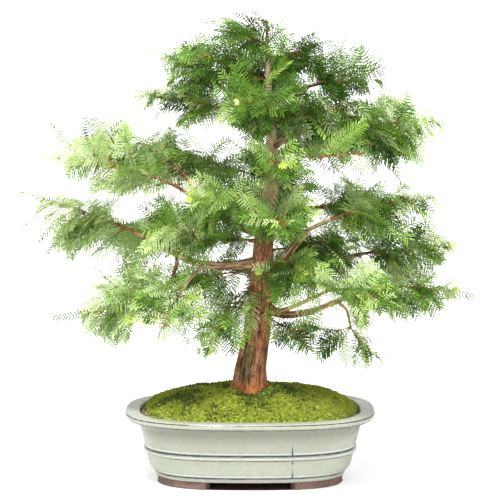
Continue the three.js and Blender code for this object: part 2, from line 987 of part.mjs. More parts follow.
// A surface is made of points and of triangles of their numbers. It grows by rings of four corners, which
// run anticlockwise about the way that the shoot grows.
const newSurface = () => ({ points: [], index: [] });

function addPoints(surface, points) {
  return points.map((p) => surface.points.push(p) - 1);
}

function squareRing(surface, it, share, radius) {
  const at = frameAt(it, share);
  const r = radius * Math.SQRT1_2;
  return addPoints(surface, [at(r, r), at(-r, r), at(-r, -r), at(r, -r)]);
}

// Joins two rings of corners by four sides, but for the sides that are left open.
function joinRings(surface, a, b, open = []) {
  for (let j = 0; j < 4; j++) {
    const k = (j + 1) % 4;
    if (!open.includes(j)) surface.index.push(a[j], a[k], b[k], a[j], b[k], b[j]);
  }
}

// A spray on the ring of corners at a twig's end: a toothed blade with a ridge on each of its faces.
function addSpray(surface, it, neck, grow) {
  const twig = twigShare(it);
  const blade = 1 - twig;
  const half = SPRAY.halfWidth * blade * it.curve.getLength();
  const edgePoint = (hand, [x, y]) => frameAt(it, twig + x * blade)(hand * (y * half + grow), 0);
  const left = addPoints(surface, SPRAY_EDGE.map((point) => edgePoint(1, point)));
  const right = addPoints(surface, SPRAY_EDGE.map((point) => edgePoint(-1, point)));
  const middle = frameAt(it, twig + SPRAY_MIDDLE * blade);
  const thick = SPRAY.halfThickness + grow;
  const end = it.curve.getPointAt(1).addScaledVector(it.curve.getTangentAt(1), grow);
  const [tip, top, bottom] = addPoints(surface, [end, middle(0, thick), middle(0, -thick)]);
  const fan = (loop, add) => loop.forEach((a, i) => add(a, loop[(i + 1) % loop.length]));
  const back = [...left].reverse();
  fan([tip, ...back, neck[0], neck[1], ...right], (a, b) => surface.index.push(a, b, top));
  fan([tip, ...back, neck[3], neck[2], ...right], (a, b) => surface.index.push(b, a, bottom));
  surface.index.push(neck[0], left[0], neck[3], neck[1], neck[2], right[0]);
}

function surfaceGeometry(surface) {
  const geometry = new THREE.BufferGeometry().setFromPoints(surface.points);
  geometry.setIndex(surface.index);
  return geometry;
}

// One shoot by itself, thickened, without the part before a share of its length. It is only tried.
function shootAlone(it, from, grow) {
  const surface = newSurface();
  const twig = twigShare(it);
  const root = squareRing(surface, it, Math.min(from, 0.9 * twig), it.radius + grow);
  const neck = squareRing(surface, it, twig, SHOOT.tipRadius + grow);
  surface.index.push(root[0], root[2], root[1], root[0], root[3], root[2]);
  joinRings(surface, root, neck);
  addSpray(surface, it, neck, grow);
  return solidOf(surfaceGeometry(surface));
}

// The side of a fork that a twig leaves by, which is the one that faces it, of those still free.
function freeSide(stem, twig, taken) {
  const at = frameAt(stem, twig.share);
  const way = twig.curve.getPointAt(0.3).sub(at(0, 0)).normalize();
  const facing = [at(0, 1), at(-1, 0), at(0, -1), at(1, 0)].map((p) => p.sub(at(0, 0)).dot(way));
  const best = facing.indexOf(Math.max(...facing));
  return taken.includes(best) || facing[best] < 0.3 ? null : best;
}

// The closed surface of a whole mass. At each fork of the stem, twigs grow out of its sides.
function massSurface({ stem, forks, twigs }) {
  const surface = newSurface();
  const end = twigShare(stem);
  const half = SHOOT.twigRadius / stem.curve.getLength();
  const radius = (share) => lerp(stem.radius, SHOOT.tipRadius, share / end);
  let last = squareRing(surface, stem, 0, stem.radius);
  surface.index.push(last[0], last[2], last[1], last[0], last[3], last[2]);
  forks.forEach((share) => {
    const leaving = twigs.filter((twig) => twig.share === share);
    const near = squareRing(surface, stem, share - half, radius(share));
    const far = squareRing(surface, stem, share + half, radius(share));
    joinRings(surface, last, near);
    joinRings(surface, near, far, leaving.map((twig) => twig.side));
    leaving.forEach((twig) => {
      const next = (twig.side + 1) % 4;
      const root = [near[twig.side], near[next], far[next], far[twig.side]];
      const neck = squareRing(surface, twig, twigShare(twig), SHOOT.tipRadius);
      joinRings(surface, leastTwisted(surface, root, neck), neck);
      addSpray(surface, twig, neck, 0);
    });
    last = far;
  });
  const neck = squareRing(surface, stem, end, SHOOT.tipRadius);
  joinRings(surface, last, neck);
  addSpray(surface, stem, neck, 0);
  return surface;
}

// A ring's corners in the order that twists least on the way to another ring's.
function leastTwisted(surface, ring, next) {
  const spokes = (corners) => {
    const points = corners.map((i) => surface.points[i]);
    const centre = points.reduce((sum, p) => sum.add(p), new THREE.Vector3()).divideScalar(4);
    return points.map((p) => p.clone().sub(centre).normalize());
  };
  const turned = [0, 1, 2, 3].map((turn) => ring.map((_, j) => ring[(j + turn) % 4]));
  const wanted = spokes(next);
  const match = (corners) => spokes(corners).reduce((sum, spoke, j) => sum + spoke.dot(wanted[j]), 0);
  return turned.reduce((best, each) => (match(each) > match(best) ? each : best));
}

// What stands already, by owner, so that a new piece can be tried against all that belongs to others.
const standing = [];

function stand(owner, solid) {
  standing.push({ owner, solid, box: solid.boundingBox() });
}

// Whether a piece meets anything that isn't its owner's.
function touches(owner, solid) {
  const box = solid.boundingBox();
  return standing.some(
    (there) =>
      there.owner !== owner &&
      [0, 1, 2].every((i) => box.min[i] < there.box.max[i] && box.max[i] > there.box.min[i]) &&
      !solid.intersect(there.solid).isEmpty(),
  );
}

// ---------------------------------------------------------------- the whole planting

const trunkRoom = solidOf(trunkGeometry(GAP));
const feet = [[-1, -1], [1, -1], [-1, 1], [1, 1]].map(([x, y]) => solidOf(footGeometry(x, y)));
addNode("pot", geometryOf(wasm.Manifold.union([solidOf(potGeometry()), ...feet])), MATERIAL.glaze);
addNode("soil", soilGeometry(), MATERIAL.soil);
addNode("moss", mossGeometry(trunkRoom), MATERIAL.moss);
addNode("trunk", trunkGeometry(0), MATERIAL.bark);
stand("trunk", trunkRoom);

const boughRooms = new Map([["trunk", trunkRoom]]);
BOUGHS.forEach((bough) => {
  const solid = solidOf(boughGeometry(bough, 0));
  const cut = largestBody(solid.subtract(boughRooms.get(bough.parent)));
  boughRooms.set(bough.name, solidOf(boughGeometry(bough, GAP)));
  stand(bough.name, boughRooms.get(bough.name));
  addNode(bough.name, geometryOf(cut), MATERIAL.bark);
});

// The limbs' middle lines as points.
const limbPoints = [];
for (let z = TRUNK[0][2]; z < TRUNK.at(-1)[2]; z += 10) {
  const { centre, radius } = trunkAt(z);
  limbPoints.push({ point: centre, radius });
}
BOUGHS.forEach((bough) =>
  boughCurve(bough)
    .getSpacedPoints(12)
    .forEach((point, i) => limbPoints.push({ point, radius: lerp(...bough.radii, i / 12) })),
);

const spaces = MASSES.map(spaceOf);
const crowns = MASSES.map((mass, number) => {
  const random = randomStream(SEED + number);
  const stem = stemOf(mass, random);
  stand(mass.name, shootAlone(stem, 0, 0).subtract(trunkRoom));
  return { mass, random, stem, space: spaces[number], forks: forksOf(mass, stem), twigs: [] };
});

// The size of a twig's spray, which gets smaller the more often no room was found for it.
const sizeAt = (tries, first) => lerp(first, SPRAY.smallest, tries / SHOOT.tries);

// Adds a twig to a mass if a side of its fork is free there and nothing stands in its way.
function addTwig(crown, twig) {
  const name = crown.mass.name;
  const neighbours = crown.twigs.filter((other) => other.share === twig.share);
  const side = freeSide(crown.stem, twig, neighbours.map((other) => other.side));
  if (side === null || touches(name, shootAlone(twig, 0, CLEARANCE))) return false;
  if (touches(null, shootAlone(twig, SPRAY.free, CLEARANCE))) return false;
  crown.twigs.push({ ...twig, side });
  stand(name, shootAlone(twig, SPRAY.free, 0));
  return true;
}

// The twigs that reach a mass' own points come first, then two by two as many others as there is room for.
crowns.forEach((crown) =>
  crown.mass.reach.slice(1).forEach((point) => {
    for (let tries = 0; tries < SHOOT.tries; tries++) {
      const size = sizeAt(tries, SPRAY.reaching);
      if (addTwig(crown, reachingTwig(crown.stem, crown.forks, point, size, crown.random))) return;
    }
  }),
);
crowns.forEach((crown) =>
  crown.forks.forEach((share) =>
    [1, -1].forEach((hand) => {
      for (let tries = 0; tries < SHOOT.tries; tries++) {
        if (crown.twigs.filter((other) => other.share === share).length > (hand > 0 ? 0 : 1)) return;
        const twig = seededTwig(crown.space, crown.stem, share, hand, sizeAt(tries, 1), crown.random);
        if (keepsToSpace(twig, crown.space, spaces) && addTwig(crown, twig)) return;
      }
    }),
  ),
);

crowns.forEach((crown) => {
  const whole = solidOf(surfaceGeometry(massSurface(crown)));
  addNode(crown.mass.name, geometryOf(largestBody(whole.subtract(trunkRoom))), MATERIAL.needles);
});

export default tree;
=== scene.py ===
"""The looks of a dawn redwood bonsai in a glazed oval pot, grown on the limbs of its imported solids.

Sizes here are in millimetres, in the frame of the solids: +Z up, -Y the front, and the origin at the
middle of the pot's footprint. They become metres where a mesh is made.
"""

import math
from random import Random

import bpy
import numpy as np
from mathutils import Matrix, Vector, noise


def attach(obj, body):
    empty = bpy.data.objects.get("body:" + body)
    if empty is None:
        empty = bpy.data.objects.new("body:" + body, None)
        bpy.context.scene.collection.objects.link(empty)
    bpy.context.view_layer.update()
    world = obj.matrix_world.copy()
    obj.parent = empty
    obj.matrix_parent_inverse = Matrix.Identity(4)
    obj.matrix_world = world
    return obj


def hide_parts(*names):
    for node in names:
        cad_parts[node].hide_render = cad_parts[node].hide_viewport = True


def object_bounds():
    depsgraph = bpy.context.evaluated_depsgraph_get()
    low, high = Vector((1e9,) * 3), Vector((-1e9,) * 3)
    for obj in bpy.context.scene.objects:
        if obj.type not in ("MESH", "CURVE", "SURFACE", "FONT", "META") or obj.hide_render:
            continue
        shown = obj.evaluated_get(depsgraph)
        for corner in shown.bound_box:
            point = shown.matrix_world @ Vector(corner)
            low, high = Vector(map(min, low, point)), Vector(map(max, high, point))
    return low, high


MM = 0.001
UP = np.array([0.0, 0.0, 1.0])
NOISE_SHIFT = (7.3, 3.1, 5.7)  # from the noise of one seed to that of the next
NOISE_SEEDS = {
    "soil": 1, "moss": 3, "moss_edge": 4, "moss_shade": 12,
    "strips": 20, "threads": 21, "swell": 22, "stains": 31,
}

# ---------------------------------------------------------------- the pot and what fills it

POT = {"half_length": 179.5, "half_depth": 136, "squareness": 2.8}  # 2 is an ellipse, more is squarer
POT_SIDES = 240
RIM_SAMPLES = 7201  # to measure along the rim
# From the underside to the rim and down to the floor inside, as (inset from the rim's outline, height).
POT_PROFILE = [
    (45, 10.8), (43, 14.8), (44, 17.4), (41, 19), (36, 24.4), (30.8, 44.6), (27.6, 45.9), (27.2, 51),
    (29, 52.4), (24.5, 69.5), (20.5, 84.2), (16.5, 90.4), (3, 93), (0.2, 96.6), (1.2, 100.6), (3.4, 102.8),
    (20, 102.9), (22.5, 100.9), (33, 62), (47, 18),
]
ROUNDING = {"radius": 1.5, "most": 0.42, "points": 5}  # of the pot's edges; most is a share of an edge
FOOT = {
    "height": 12.2,
    "outer_inset": 46,
    "inner_inset": 61,
    "gap_front": 64,
    "gap_end": 24,
    "taper": 0.12,
    "cut": 0.1,
    "softness": 1.2,
    "steps": 24,
}
# Where glaze ran down the front: how narrow it gets towards its top and how wide its solid middle is, both
# as shares, and how far past its two ends it fades.
GLAZE_RUN = {
    "x": 59.5,
    "width": 2.0,
    "narrowest": 0.25,
    "solid": 0.3,
    "bottom": (-1.5, 0.5),
    "top": (-3.0, 1.0),
}
GLAZE_RUNS = [(53, 70), (40, 46.5), (17.5, 34)]  # from one height to another

BED_INSET = 21.5  # the opening's edge
SOIL_TOP = [(0, 118), (0.32, 118), (0.7, 108), (0.97, 94), (0.985, 91)]  # share of the way out, and height
SOIL_SKIRT = [(25.5, 84), (33.3, 60), (46.5, 20)]  # below its top, as (inset, height)
SOIL_RINGS = {"from": 0.7, "count": 18}
SOIL_LUMPS = [(5, 0.9), (2.2, 0.6)]  # size and height
MOSS_TOP = [
    (0, 134.5), (0.15, 134), (0.29, 132), (0.5, 128.5), (0.69, 123), (0.8, 118.5), (0.89, 112),
    (0.94, 106), (0.965, 101), (0.972, 96),
]
MOSS_RINGS = {"from": 0.1, "count": 60, "sides": 260}
MOSS_LUMPS = [(34, 3.2), (11, 2.0), (3.4, 1.1)]
MOSS_FLATTER = {"within": 0.12, "least": 0.25}  # how the lumps shrink towards the rim
MOSS_DIP = {"x": -2, "y": -42, "reach": 26, "depth": 6.5}  # in front of the trunk
# Where bare soil shows at the rim: the angle in radians from +X, how narrow the place is, and its depth.
MOSS_BARE = [(-2.0, 24, 0.028), (math.pi, 30, 0.014)]
MOSS_RAGGED = {"size": 6, "depth": 0.008}
MOSS_SHADE = {"mean": 0.45, "spread": 0.4, "size": 3}
# How the tufts' tones are dealt out: wide and small patches, as (size, strength, seed), more gold to the
# right, in front and at both ends, brown in small spots, and dark near the trunk.
MOSS_PATCHES = [(40, 0.9, 0.5), (12, 0.7, 3)]
MOSS_GOLD = {"above": 0.2, "rightward": 0.0024, "from": -30, "forward": 0.0012, "chance": 0.34}
MOSS_ENDS = {"at": 140, "gold": 0.4}
MOSS_BROWN = {"size": 9, "seed": 8, "above": (0.22, 0.75)}
MOSS_DARK = {"aside": 14, "reach": 42, "share": 0.9, "below": (-0.5, 0.0)}
TUFTS = {
    "count": 16000,
    "leaves": 3,
    "height": (2.0, 4.8),
    "shortest": 0.6,
    "sunk": 0.8,
    "radius": (0.9, 1.7),
    "lean": 0.55,
    "width": 0.62,
    "foot_width": 0.3,
    "waist": 0.45,  # share of a leaflet's length where it is widest
    "bulge": 0.35,
    "in_bark": 2,  # how far inside the trunk's radius they start
}
# painted shade along each leaflet, darkest at its foot
TUFT_SHADE = [0, 0, 0.6, 0.6, 1.0]
GRIT = {
    "count": 2200,
    "size": (0.8, 1.9),
    "share": (0.945, 0.985),
    "heap": 7,
    "at": (-2.0, 3.14),
    "spread": 0.3,
    "strays": 0.45,
    "cream": 0.62,
    "dents": (0.6, 1.1),
    "flatness": 0.75,
    "seed": 500,  # on from the whole planting's
    "darker": 0.55,
}
STONE_CORNERS = [(1, 0, 0), (0, 1, 0), (-1, 0, 0), (0, -1, 0), (0, 0, 1), (0, 0, -1)]
STONE_FACES = [(0, 1, 4), (1, 2, 4), (2, 3, 4), (3, 0, 4), (1, 0, 5), (2, 1, 5), (3, 2, 5), (0, 3, 5)]
TUFT_FACES = [(0, 2, 3), (0, 3, 1), (2, 4, 3)]

# ---------------------------------------------------------------- the limbs

# The trunk's middle line and radius, from the cut at the soil to the tip: x, y, z, radius.
TRUNK = np.array([
    (-4, 0, 118.35, 30), (-2, 0, 130, 27.5), (0, 0, 141, 23.8), (1, 0, 156, 22.4), (5, 0, 181, 20.8),
    (10, 0, 209, 19.2), (13, 0, 243, 17.6), (15, 0, 277, 16.4), (20, 1, 345, 14.4), (27, 2, 400, 11.8),
    (31, 2, 450, 9.4), (29, 1, 507, 7), (27, 0, 543, 5.6), (26, 0, 581, 4.2), (25, 0, 617, 2.4),
], float)
CROWN_MIDDLE = 15  # the x that sprays face away from
TRUNK_SIDES = 128
TRUNK_STEP = 1.6
FLARE = {"reach": 15, "share": 0.2, "roots": 5, "turn": 0.7}
FLUTES = {"count": 3, "share": 0.05, "rise": 60}
# Its deep creases: the angle in degrees, the heights from and to, the depth and the half-width in radians.
TRUNK_CREASES = [
    (-94, 126, 200, 2.4, 0.06), (-50, 132, 196, 2.2, 0.06), (-122, 130, 222, 1.5, 0.06),
    (-84, 196, 300, 1.8, 0.07), (-36, 150, 260, 1.6, 0.08), (-140, 150, 270, 1.6, 0.08),
]
# Where its bark is rust-red (above 0) or green (below 0): the angle in degrees, the heights from and to,
# the strength and the half-width in degrees.
TRUNK_STAINS = [
    (-68, 110, 300, 0.8, 11), (-118, 128, 205, -0.8, 26), (-30, 120, 200, -0.5, 12),
    (-100, 290, 360, 0.35, 20), (100, 110, 260, -0.6, 40), (60, 240, 420, 0.5, 20),
]
# How such streaks sway round the trunk, in radians, over what height, and how far from an end they fade.
CREASE_SWAY = {"turn": 0.07, "wave": 9, "phase": 1, "fade": 12}
STAIN_SWAY = {"turn": 0.12, "wave": 23, "phase": 0, "fade": 20}
STAIN_EDGE = {"rough": 0.45, "size": 6, "stretch": 4, "scatter": 0.4}
CREASE_SHADE = 0.8  # the share of a crease's depth that counts for how dark it is
KNOT = {
    "angle": -72,
    "z": 240,
    "size": 9,
    "rise": 2.4,
    "squash": 0.75,
    "ring": (0.8, 0.3),  # how far out it is, and its half-width
    "hollow": (0.9, 0.45),  # its depth and its half-width
}

# Boughs: name, radii at the foot and the tip, and points on the middle line from inside the parent.
BOUGHS = [
    ("left_low", (6.9, 2.7),
     [(14, 0, 313), (-39, -5, 309), (-84, -10, 316), (-127, -5, 337), (-165, 2, 356)]),
    ("left_droop", (2.6, 1.8), [(-103, -9, 323), (-106, -13, 305), (-117, -20, 283), (-142, -28, 270)]),
    ("left_low_front", (2.5, 1.8), [(-66, -8, 311), (-82, -30, 297), (-93, -48, 284)]),
    ("left_low_back", (3, 2), [(-86, -9, 317), (-101, 26, 331), (-118, 50, 342)]),
    ("left_high", (6.2, 2.8),
     [(21, 0, 352), (-13, -8, 364), (-44, -15, 382), (-73, -22, 404), (-96, -25, 420)]),
    ("left_high_up", (2.8, 2.1), [(-68, -20, 401), (-78, -9, 415), (-86, -2, 428)]),
    ("right_low", (6.8, 3),
     [(14, 0, 251), (47, -12, 240), (83, -25, 245), (118, -28, 259), (146, -25, 271)]),
    ("right_hang", (2.1, 1.6), [(124, -28, 261), (137, -32, 248), (141, -35, 230)]),
    ("right_low_front", (3.6, 2.2), [(40, -9, 242), (64, -38, 256), (88, -62, 271), (106, -82, 283)]),
    ("right_mid", (4.4, 2.8), [(15, -2, 290), (45, -19, 322), (78, -27, 360), (114, -29, 378)]),
    ("right_mid_front", (2.4, 1.7), [(83, -28, 364), (74, -50, 353), (59, -70, 337)]),
    ("right_mid_back", (4.2, 2.7), [(25, 2, 388), (58, 22, 388), (82, 36, 387)]),
    ("right_out", (4.6, 2.6), [(15, 0, 284), (58, 24, 296), (108, 35, 308), (150, 35, 318)]),
    ("right_high", (5, 3), [(30, 1, 478), (54, -4, 491), (84, -8, 504), (102, -8, 507)]),
    ("right_top", (3.4, 2.4), [(27, 0, 545), (50, 4, 551), (74, 8, 560)]),
    ("left_top", (5.2, 2.8), [(28, 0, 514), (1, -8, 523), (-18, -11, 541), (-32, -12, 557)]),
    ("left_top_back", (3.6, 2.5), [(30, 1, 494), (1, 15, 508), (-24, 25, 522)]),
]
BARK = {
    "stretch": 6,  # how much longer than wide the strips are
    "strip": 4.2,
    "ridges": 2.4,
    "level": 0.6,
    "thread": 1.4,
    "swell": 13,
    "rise": 1.0,
    "thread_rise": 0.5,
    "swell_rise": 1.1,
    "full_at": 15,  # the radius from which bark is at its full depth
    "least": 0.12,
    "wave": 0.12,
    "wave_height": 31,
}
# the trunk is paler high up, partly the younger bark's own tone and partly painted light
YOUNG_AND_LIT_BARK = {"from": 355, "to": 390, "share": 0.95}  # the heights over which the trunk turns paler
FRESH_BARK = {"from": 148, "to": 130, "share": 0.85}  # and those over which it turns redder at its foot
BOUGH_SIDES = 20
BOUGH_STEP = 2
CURVE_STEPS = 12  # for each point that a bough is given by
BOUGH_SHIFT = 200  # from the grain of one bough to that of the next
BOUGH_RELIEF = 2  # the boughs' shallower creases count for more, so that they are as dark
COLLAR = {"share": 0.35, "reach": 9, "inside": 3.0}  # how a bough swells where it leaves its parent

# ---------------------------------------------------------------- the masses of foliage

# Name, the bough or the height on the trunk that carries it, the middle and half-size of its space, and
# the points that it reaches, of which the stem runs to the first.
MASSES = [
    ("left_low", "left_low", (-228, -20, 364), (86, 78, 44),
     [(-326, -20, 417), (-328, -60, 360), (-290, -45, 328), (-300, -30, 346), (-280, -60, 352),
      (-228, -40, 324), (-250, -40, 332), (-262, -36, 350)]),
    ("left_droop", "left_droop", (-168, -42, 266), (74, 62, 62),
     [(-280, -45, 240), (-190, -50, 312), (-229, -50, 207), (-128, -36, 306), (-190, -58, 192),
      (-226, -40, 320), (-165, -50, 324), (-172, -60, 208), (-208, -55, 202), (-190, -44, 330),
      (-146, -56, 322), (-176, -40, 318)]),
    ("left_low_front", "left_low_front", (-122, -92, 272), (56, 60, 50),
     [(-122, -145, 236), (-86, -90, 208), (-156, -84, 300), (-104, -100, 292), (-150, -70, 308),
      (-92, -80, 262), (-84, -88, 240), (-112, -84, 318), (-140, -60, 326)]),
    ("left_low_back", "left_low_back", (-158, 85, 340), (76, 70, 50),
     [(-215, 125, 340), (-130, 150, 345)]),
    ("left_near", 292, (-40, -56, 246), (44, 46, 58),
     [(-66, -68, 191), (-78, -70, 240), (-62, -60, 268)]),
    ("left_inner", 300, (-62, 62, 290), (62, 60, 50), [(-118, 110, 272)]),
    ("left_high", "left_high", (-182, -24, 474), (78, 75, 54),
     [(-293, -30, 466), (-225, -40, 414), (-233, 10, 521), (-178, -20, 520), (-284, 0, 512),
      (-208, -30, 518), (-234, -30, 508), (-222, -20, 524), (-212, -24, 500), (-240, -40, 512)]),
    ("left_high_up", "left_high_up", (-118, 24, 474), (66, 62, 46), [(-175, 50, 492)]),
    ("left_high_inner", 392, (-46, -78, 424), (62, 66, 56), [(-82, -135, 420), (-22, -92, 460)]),
    ("left_back", 338, (-92, 120, 366), (85, 75, 52), [(-140, 180, 366)]),
    ("left_high_back", 432, (-85, 108, 458), (80, 72, 50), [(-130, 165, 462)]),
    ("left_mid", 346, (-94, -48, 374), (74, 58, 54),
     [(-134, -62, 352), (-128, -50, 404), (-92, -70, 410), (-20, -52, 336), (-8, -60, 350),
      (-128, -40, 412), (-158, -40, 400), (-112, -50, 420), (-96, -60, 396)]),
    ("right_low", "right_low", (204, -5, 278), (80, 66, 44),
     [(323, 20, 260), (303, 0, 298), (277, -40, 248), (223, -35, 233), (262, -20, 300),
      (250, -20, 250)]),
    ("right_low_front", "right_low_front", (140, -124, 288), (72, 68, 50), [(190, -170, 284)]),
    ("right_hang", "right_hang", (130, -42, 208), (60, 50, 44),
     [(183, -35, 179), (140, -45, 168), (103, -50, 180), (112, -50, 190), (98, -46, 204),
      (150, -44, 190), (76, -60, 232)]),
    ("right_near", 240, (66, -54, 234), (46, 42, 38),
     [(78, -66, 210), (104, -62, 236), (44, -50, 262), (34, -58, 272)]),
    ("right_mid_front", "right_mid_front", (58, -104, 304), (56, 52, 50),
     [(20, -110, 306), (71, -100, 258), (95, -135, 292)]),
    ("right_mid", "right_mid", (184, -32, 390), (80, 66, 43), [(261, -28, 410)]),
    ("right_mid_back", "right_mid_back", (150, 92, 392), (86, 72, 48), [(222, 135, 394)]),
    ("right_out", "right_out", (200, 22, 330), (82, 62, 48), [(290, 20, 331), (266, 45, 362)]),
    ("right_inner_back", 305, (100, 102, 302), (76, 72, 52), [(155, 150, 300)]),
    ("right_inner", 330, (98, -12, 344), (72, 60, 40),
     [(164, -4, 348), (112, -42, 372), (98, -44, 384), (88, -62, 374), (124, -50, 360)]),
    ("front_mid", 392, (40, -106, 396), (66, 78, 46), [(48, -196, 392)]),
    ("right_high", "right_high", (176, -10, 500), (82, 74, 56),
     [(275, 0, 512), (225, 0, 557), (234, -20, 464), (178, -35, 432), (214, -30, 430),
      (204, -30, 440)]),
    ("right_high_front", 462, (112, -86, 484), (70, 70, 54), [(160, -140, 486)]),
    ("right_high_back", 470, (120, 94, 478), (78, 72, 52), [(170, 145, 482)]),
    ("right_top", "right_top", (126, 14, 592), (60, 62, 44),
     [(197, 15, 572), (136, 20, 634), (186, -6, 606), (160, 0, 624)]),
    ("right_upper", 516, (100, -48, 545), (68, 62, 46), [(152, -66, 548), (76, -62, 580)]),
    ("front_high", 448, (40, -102, 478), (58, 76, 50),
     [(34, -168, 478), (-16, -80, 506), (-36, -80, 500), (-4, -60, 494)]),
    ("left_top", "left_top", (-68, -14, 594), (52, 60, 44), [(-152, -10, 622), (-92, -10, 632)]),
    ("left_crown", 572, (-46, -12, 612), (60, 62, 44),
     [(-84, -34, 622), (-70, -20, 644), (-62, 10, 638)]),
    ("left_top_back", "left_top_back", (-86, 36, 538), (62, 66, 36),
     [(-171, 20, 549), (-166, -6, 560), (-120, 78, 538)]),
    ("top", "trunk_tip", (-14, 0, 630), (74, 64, 38),
     [(24, 0, 658), (-22, 0, 668), (-77, 0, 658), (-60, -14, 648), (-34, -12, 652), (56, -8, 650),
      (-58, -30, 622), (14, -44, 632)]),
    ("top_right", 578, (80, 2, 610), (62, 60, 38), [(62, 4, 622), (118, 5, 630), (40, -8, 636)]),
    ("front_top", 540, (4, -80, 568), (76, 68, 58), [(-10, -148, 560), (36, -90, 618)]),
    ("back_high", 508, (22, 118, 528), (76, 80, 52), [(26, 188, 526)]),
    ("back_top", 566, (26, 84, 596), (76, 66, 48), [(30, 140, 602)]),
    ("back_mid", 385, (34, 134, 410), (76, 80, 52), [(40, 200, 404)]),
    ("back_low", 268, (10, 126, 286), (70, 78, 48), [(6, 194, 276)]),
]
SEED = 300
FULLNESS = 1.12  # of the masses' spaces

# How a mass grows: its stem, the pairs of twigs along the stem, and the sprays along each twig.
STEM = {"lead": 0.35, "follow": 0.35, "follow_bough": 0.9, "radius": (1.9, 0.7), "points": 13}
TWIG = {
    "every": 10.5,  # along the stem, a pair
    "from": 0.1,  # share of the stem where the first pair leaves
    "to": 0.97,
    "strays": (0.1, 0.9),  # where in its stretch of the stem a twig leaves
    "turn": (38, 78),  # degrees from the stem
    "flatter": 0.15,  # how much of the stem's own rise a twig takes on
    "rise": (-0.65, 0.42),
    "reach": (38, 112),
    "shortest": 0.78,
    "radius": (1.05, 0.5),
    "taper": 0.45,  # how much shorter the last ones are
    "tries": 4,
    "probes": [6, 9, 12],  # the points of a twig that have to keep to its mass
    "outside": 1.1,
    "mingling": 0.4,
    "roll": (12, 74),
    "slant": 58,  # degrees at which a twig to a mass' own point likes to leave the stem
    "per_radian": 130,  # how much length counts as much as a radian off that slant
    "step": 3,
    "sides": 5,
    "shift": 37,  # from the grain of one twig to that of the next
}
SPRAY = {
    "every": 5.6,
    "strays": (0.7, 1.3),
    "from": 0.1,  # share of a twig's length where its first spray leaves
    "bare_when_reaching": 0.14,  # the same for stems and for twigs to a mass' own points
    "length": (46, 74),
    "most_of_twig": 0.6,
    "shortening": 0.8,
    "shortest": 10,
    "edge": 1.0,  # how far out in its mass' space a spray may end
    "tries": 3,
    "cut": 0.75,  # how much of a spray is left when it is cut shorter
    "lead": 0.5,
    "turn": (42, 62),
    "droop": (0.0, 0.4),
    "hanging": (290, 0.0045),  # the height below which sprays droop more, and how much per millimetre
    "radius": 0.42,
    "tip_radius": 0.2,
    "sides": 3,
    "segments": 6,
    "probes": [1, 3, 6],  # the points of a spray that have to be clear
    "roll": 28,  # degrees, either way, from its twig's plane
    "bare": 0.05,  # share of its length by the foot without needles
    "mix": 0.44,  # how much the tones of neighbouring sprays differ
    "slender": 0.62,  # how long the needles are on shoots to a mass' own points, as a share
}
NEEDLE = {
    "every": 4.0,
    "fewest": 5,  # pairs
    "first": 0.6,  # where the first pair is, as a share of the gap between pairs
    "strays": 0.2,
    "length": (16, 22),
    "variety": (0.7, 1.05),  # how long the needles are, from spray to spray
    "full_length_on": 40,  # how long a spray is whose needles aren't shorter
    "on_short": (0.3, 0.7),  # the share that a very short spray's needles have, and what is left
    "at_ends": (0.42, 0.58),  # the share that the needles at a spray's ends have, and what is left
    "middle": (0.12, 0.8, 0.7),  # where the longest needles are, and how round the spray's outline is
    "width": 1.7,
    "turn": (76, 42),  # degrees from the axis, at the spray's foot and tip
    "turn_strays": 3,
    "lift": (-0.05, 0.12),
    "droop": 0.14,
}
NEEDLE_OUTLINE = [(0, 0), (0.16, 0.5), (0.16, -0.5), (0.74, 0.44), (0.74, -0.44), (1, 0)]
NEEDLE_FACES = [(0, 2, 1), (1, 2, 4), (1, 4, 3), (3, 4, 5)]
NEEDLE_SHADE = {"by_spray": 0.5, "by_needle": 0.22, "tipward": 0.16}
NEEDLES_IN_PIECE = 45000
NEW_GROWTH = {"share": 0.28, "from": 0.85}  # of the outermost sprays
# How the tones are dealt out, as painted light and shade: paler on a mass' upper side, paler for each
# millimetre aside and to the left over the crown, and darker from some height up, down to a least tone.
PAINTED_LIGHT = {"over": 0.3, "aside": 0.0026, "leftward": 0.0010}
DARKER = {"above": 507, "upward": 0.0052, "least": 0.55}
# the deep tone inside a mass is painted shade
TONE_FROM = {"pale": 1.2, "fresh": 0.88, "green": 0.5, "deep": -9}  # from how far out in its mass

# Where the crown is open through and through, and where it is open in front of the trunk, as ovals seen
# from the front: x, z, half-width, half-height, and the share of sprays that grow there all the same.
SKY = [
    (-66, 491, 22, 16, 0), (-176, 384, 28, 8, 0), (-88, 366, 11, 10, 0.2), (-46, 326, 10, 10, 0),
    (-13, 281, 11, 14, 0), (-30, 297, 16, 6, 0), (98, 460, 30, 10, 0.1), (146, 460, 32, 10, 0.15),
    (84, 438, 30, 8, 0.4), (194, 417, 20, 8, 0.3), (132, 240, 14, 10, 0), (-238, 470, 18, 7, 0.3),
    (-228, 428, 24, 8, 0.3), (-252, 386, 24, 8, 0.3), (-284, 378, 26, 8, 0.25),
    (-222, 252, 16, 14, 0.3), (-123, 222, 16, 12, 0.2), (266, 284, 12, 6, 0.4),
    (-122, 531, 24, 9, 0.25), (176, 582, 16, 7, 0.4), (246, 308, 16, 7, 0.4), (222, 377, 14, 9, 0.4),
    (198, 238, 24, 8, 0.4), (150, 190, 30, 10, 0.4),
]
TRUNK_SHOWS = [(8, 165, 26, 34, 0), (18, 238, 15, 40, 0.1), (20, 325, 15, 20, 0), (28, 424, 12, 15, 0)]
# The room that sprays leave round a limb, up to where on the trunk and on a bough, and the steps between the
# places where it is measured.
LIMB_ROOM = {"width": 5, "below_tip": 20, "trunk_step": 6, "of_bough": 0.8, "bough_step": 5}
EDGE_SEARCH = {"from": 10, "to": 300, "step": 5, "within": 0.97}
ROOM_INSET = {"twigs": 2, "sprays": 1}  # how far inside the whole plant's room they stay

# ---------------------------------------------------------------- colours

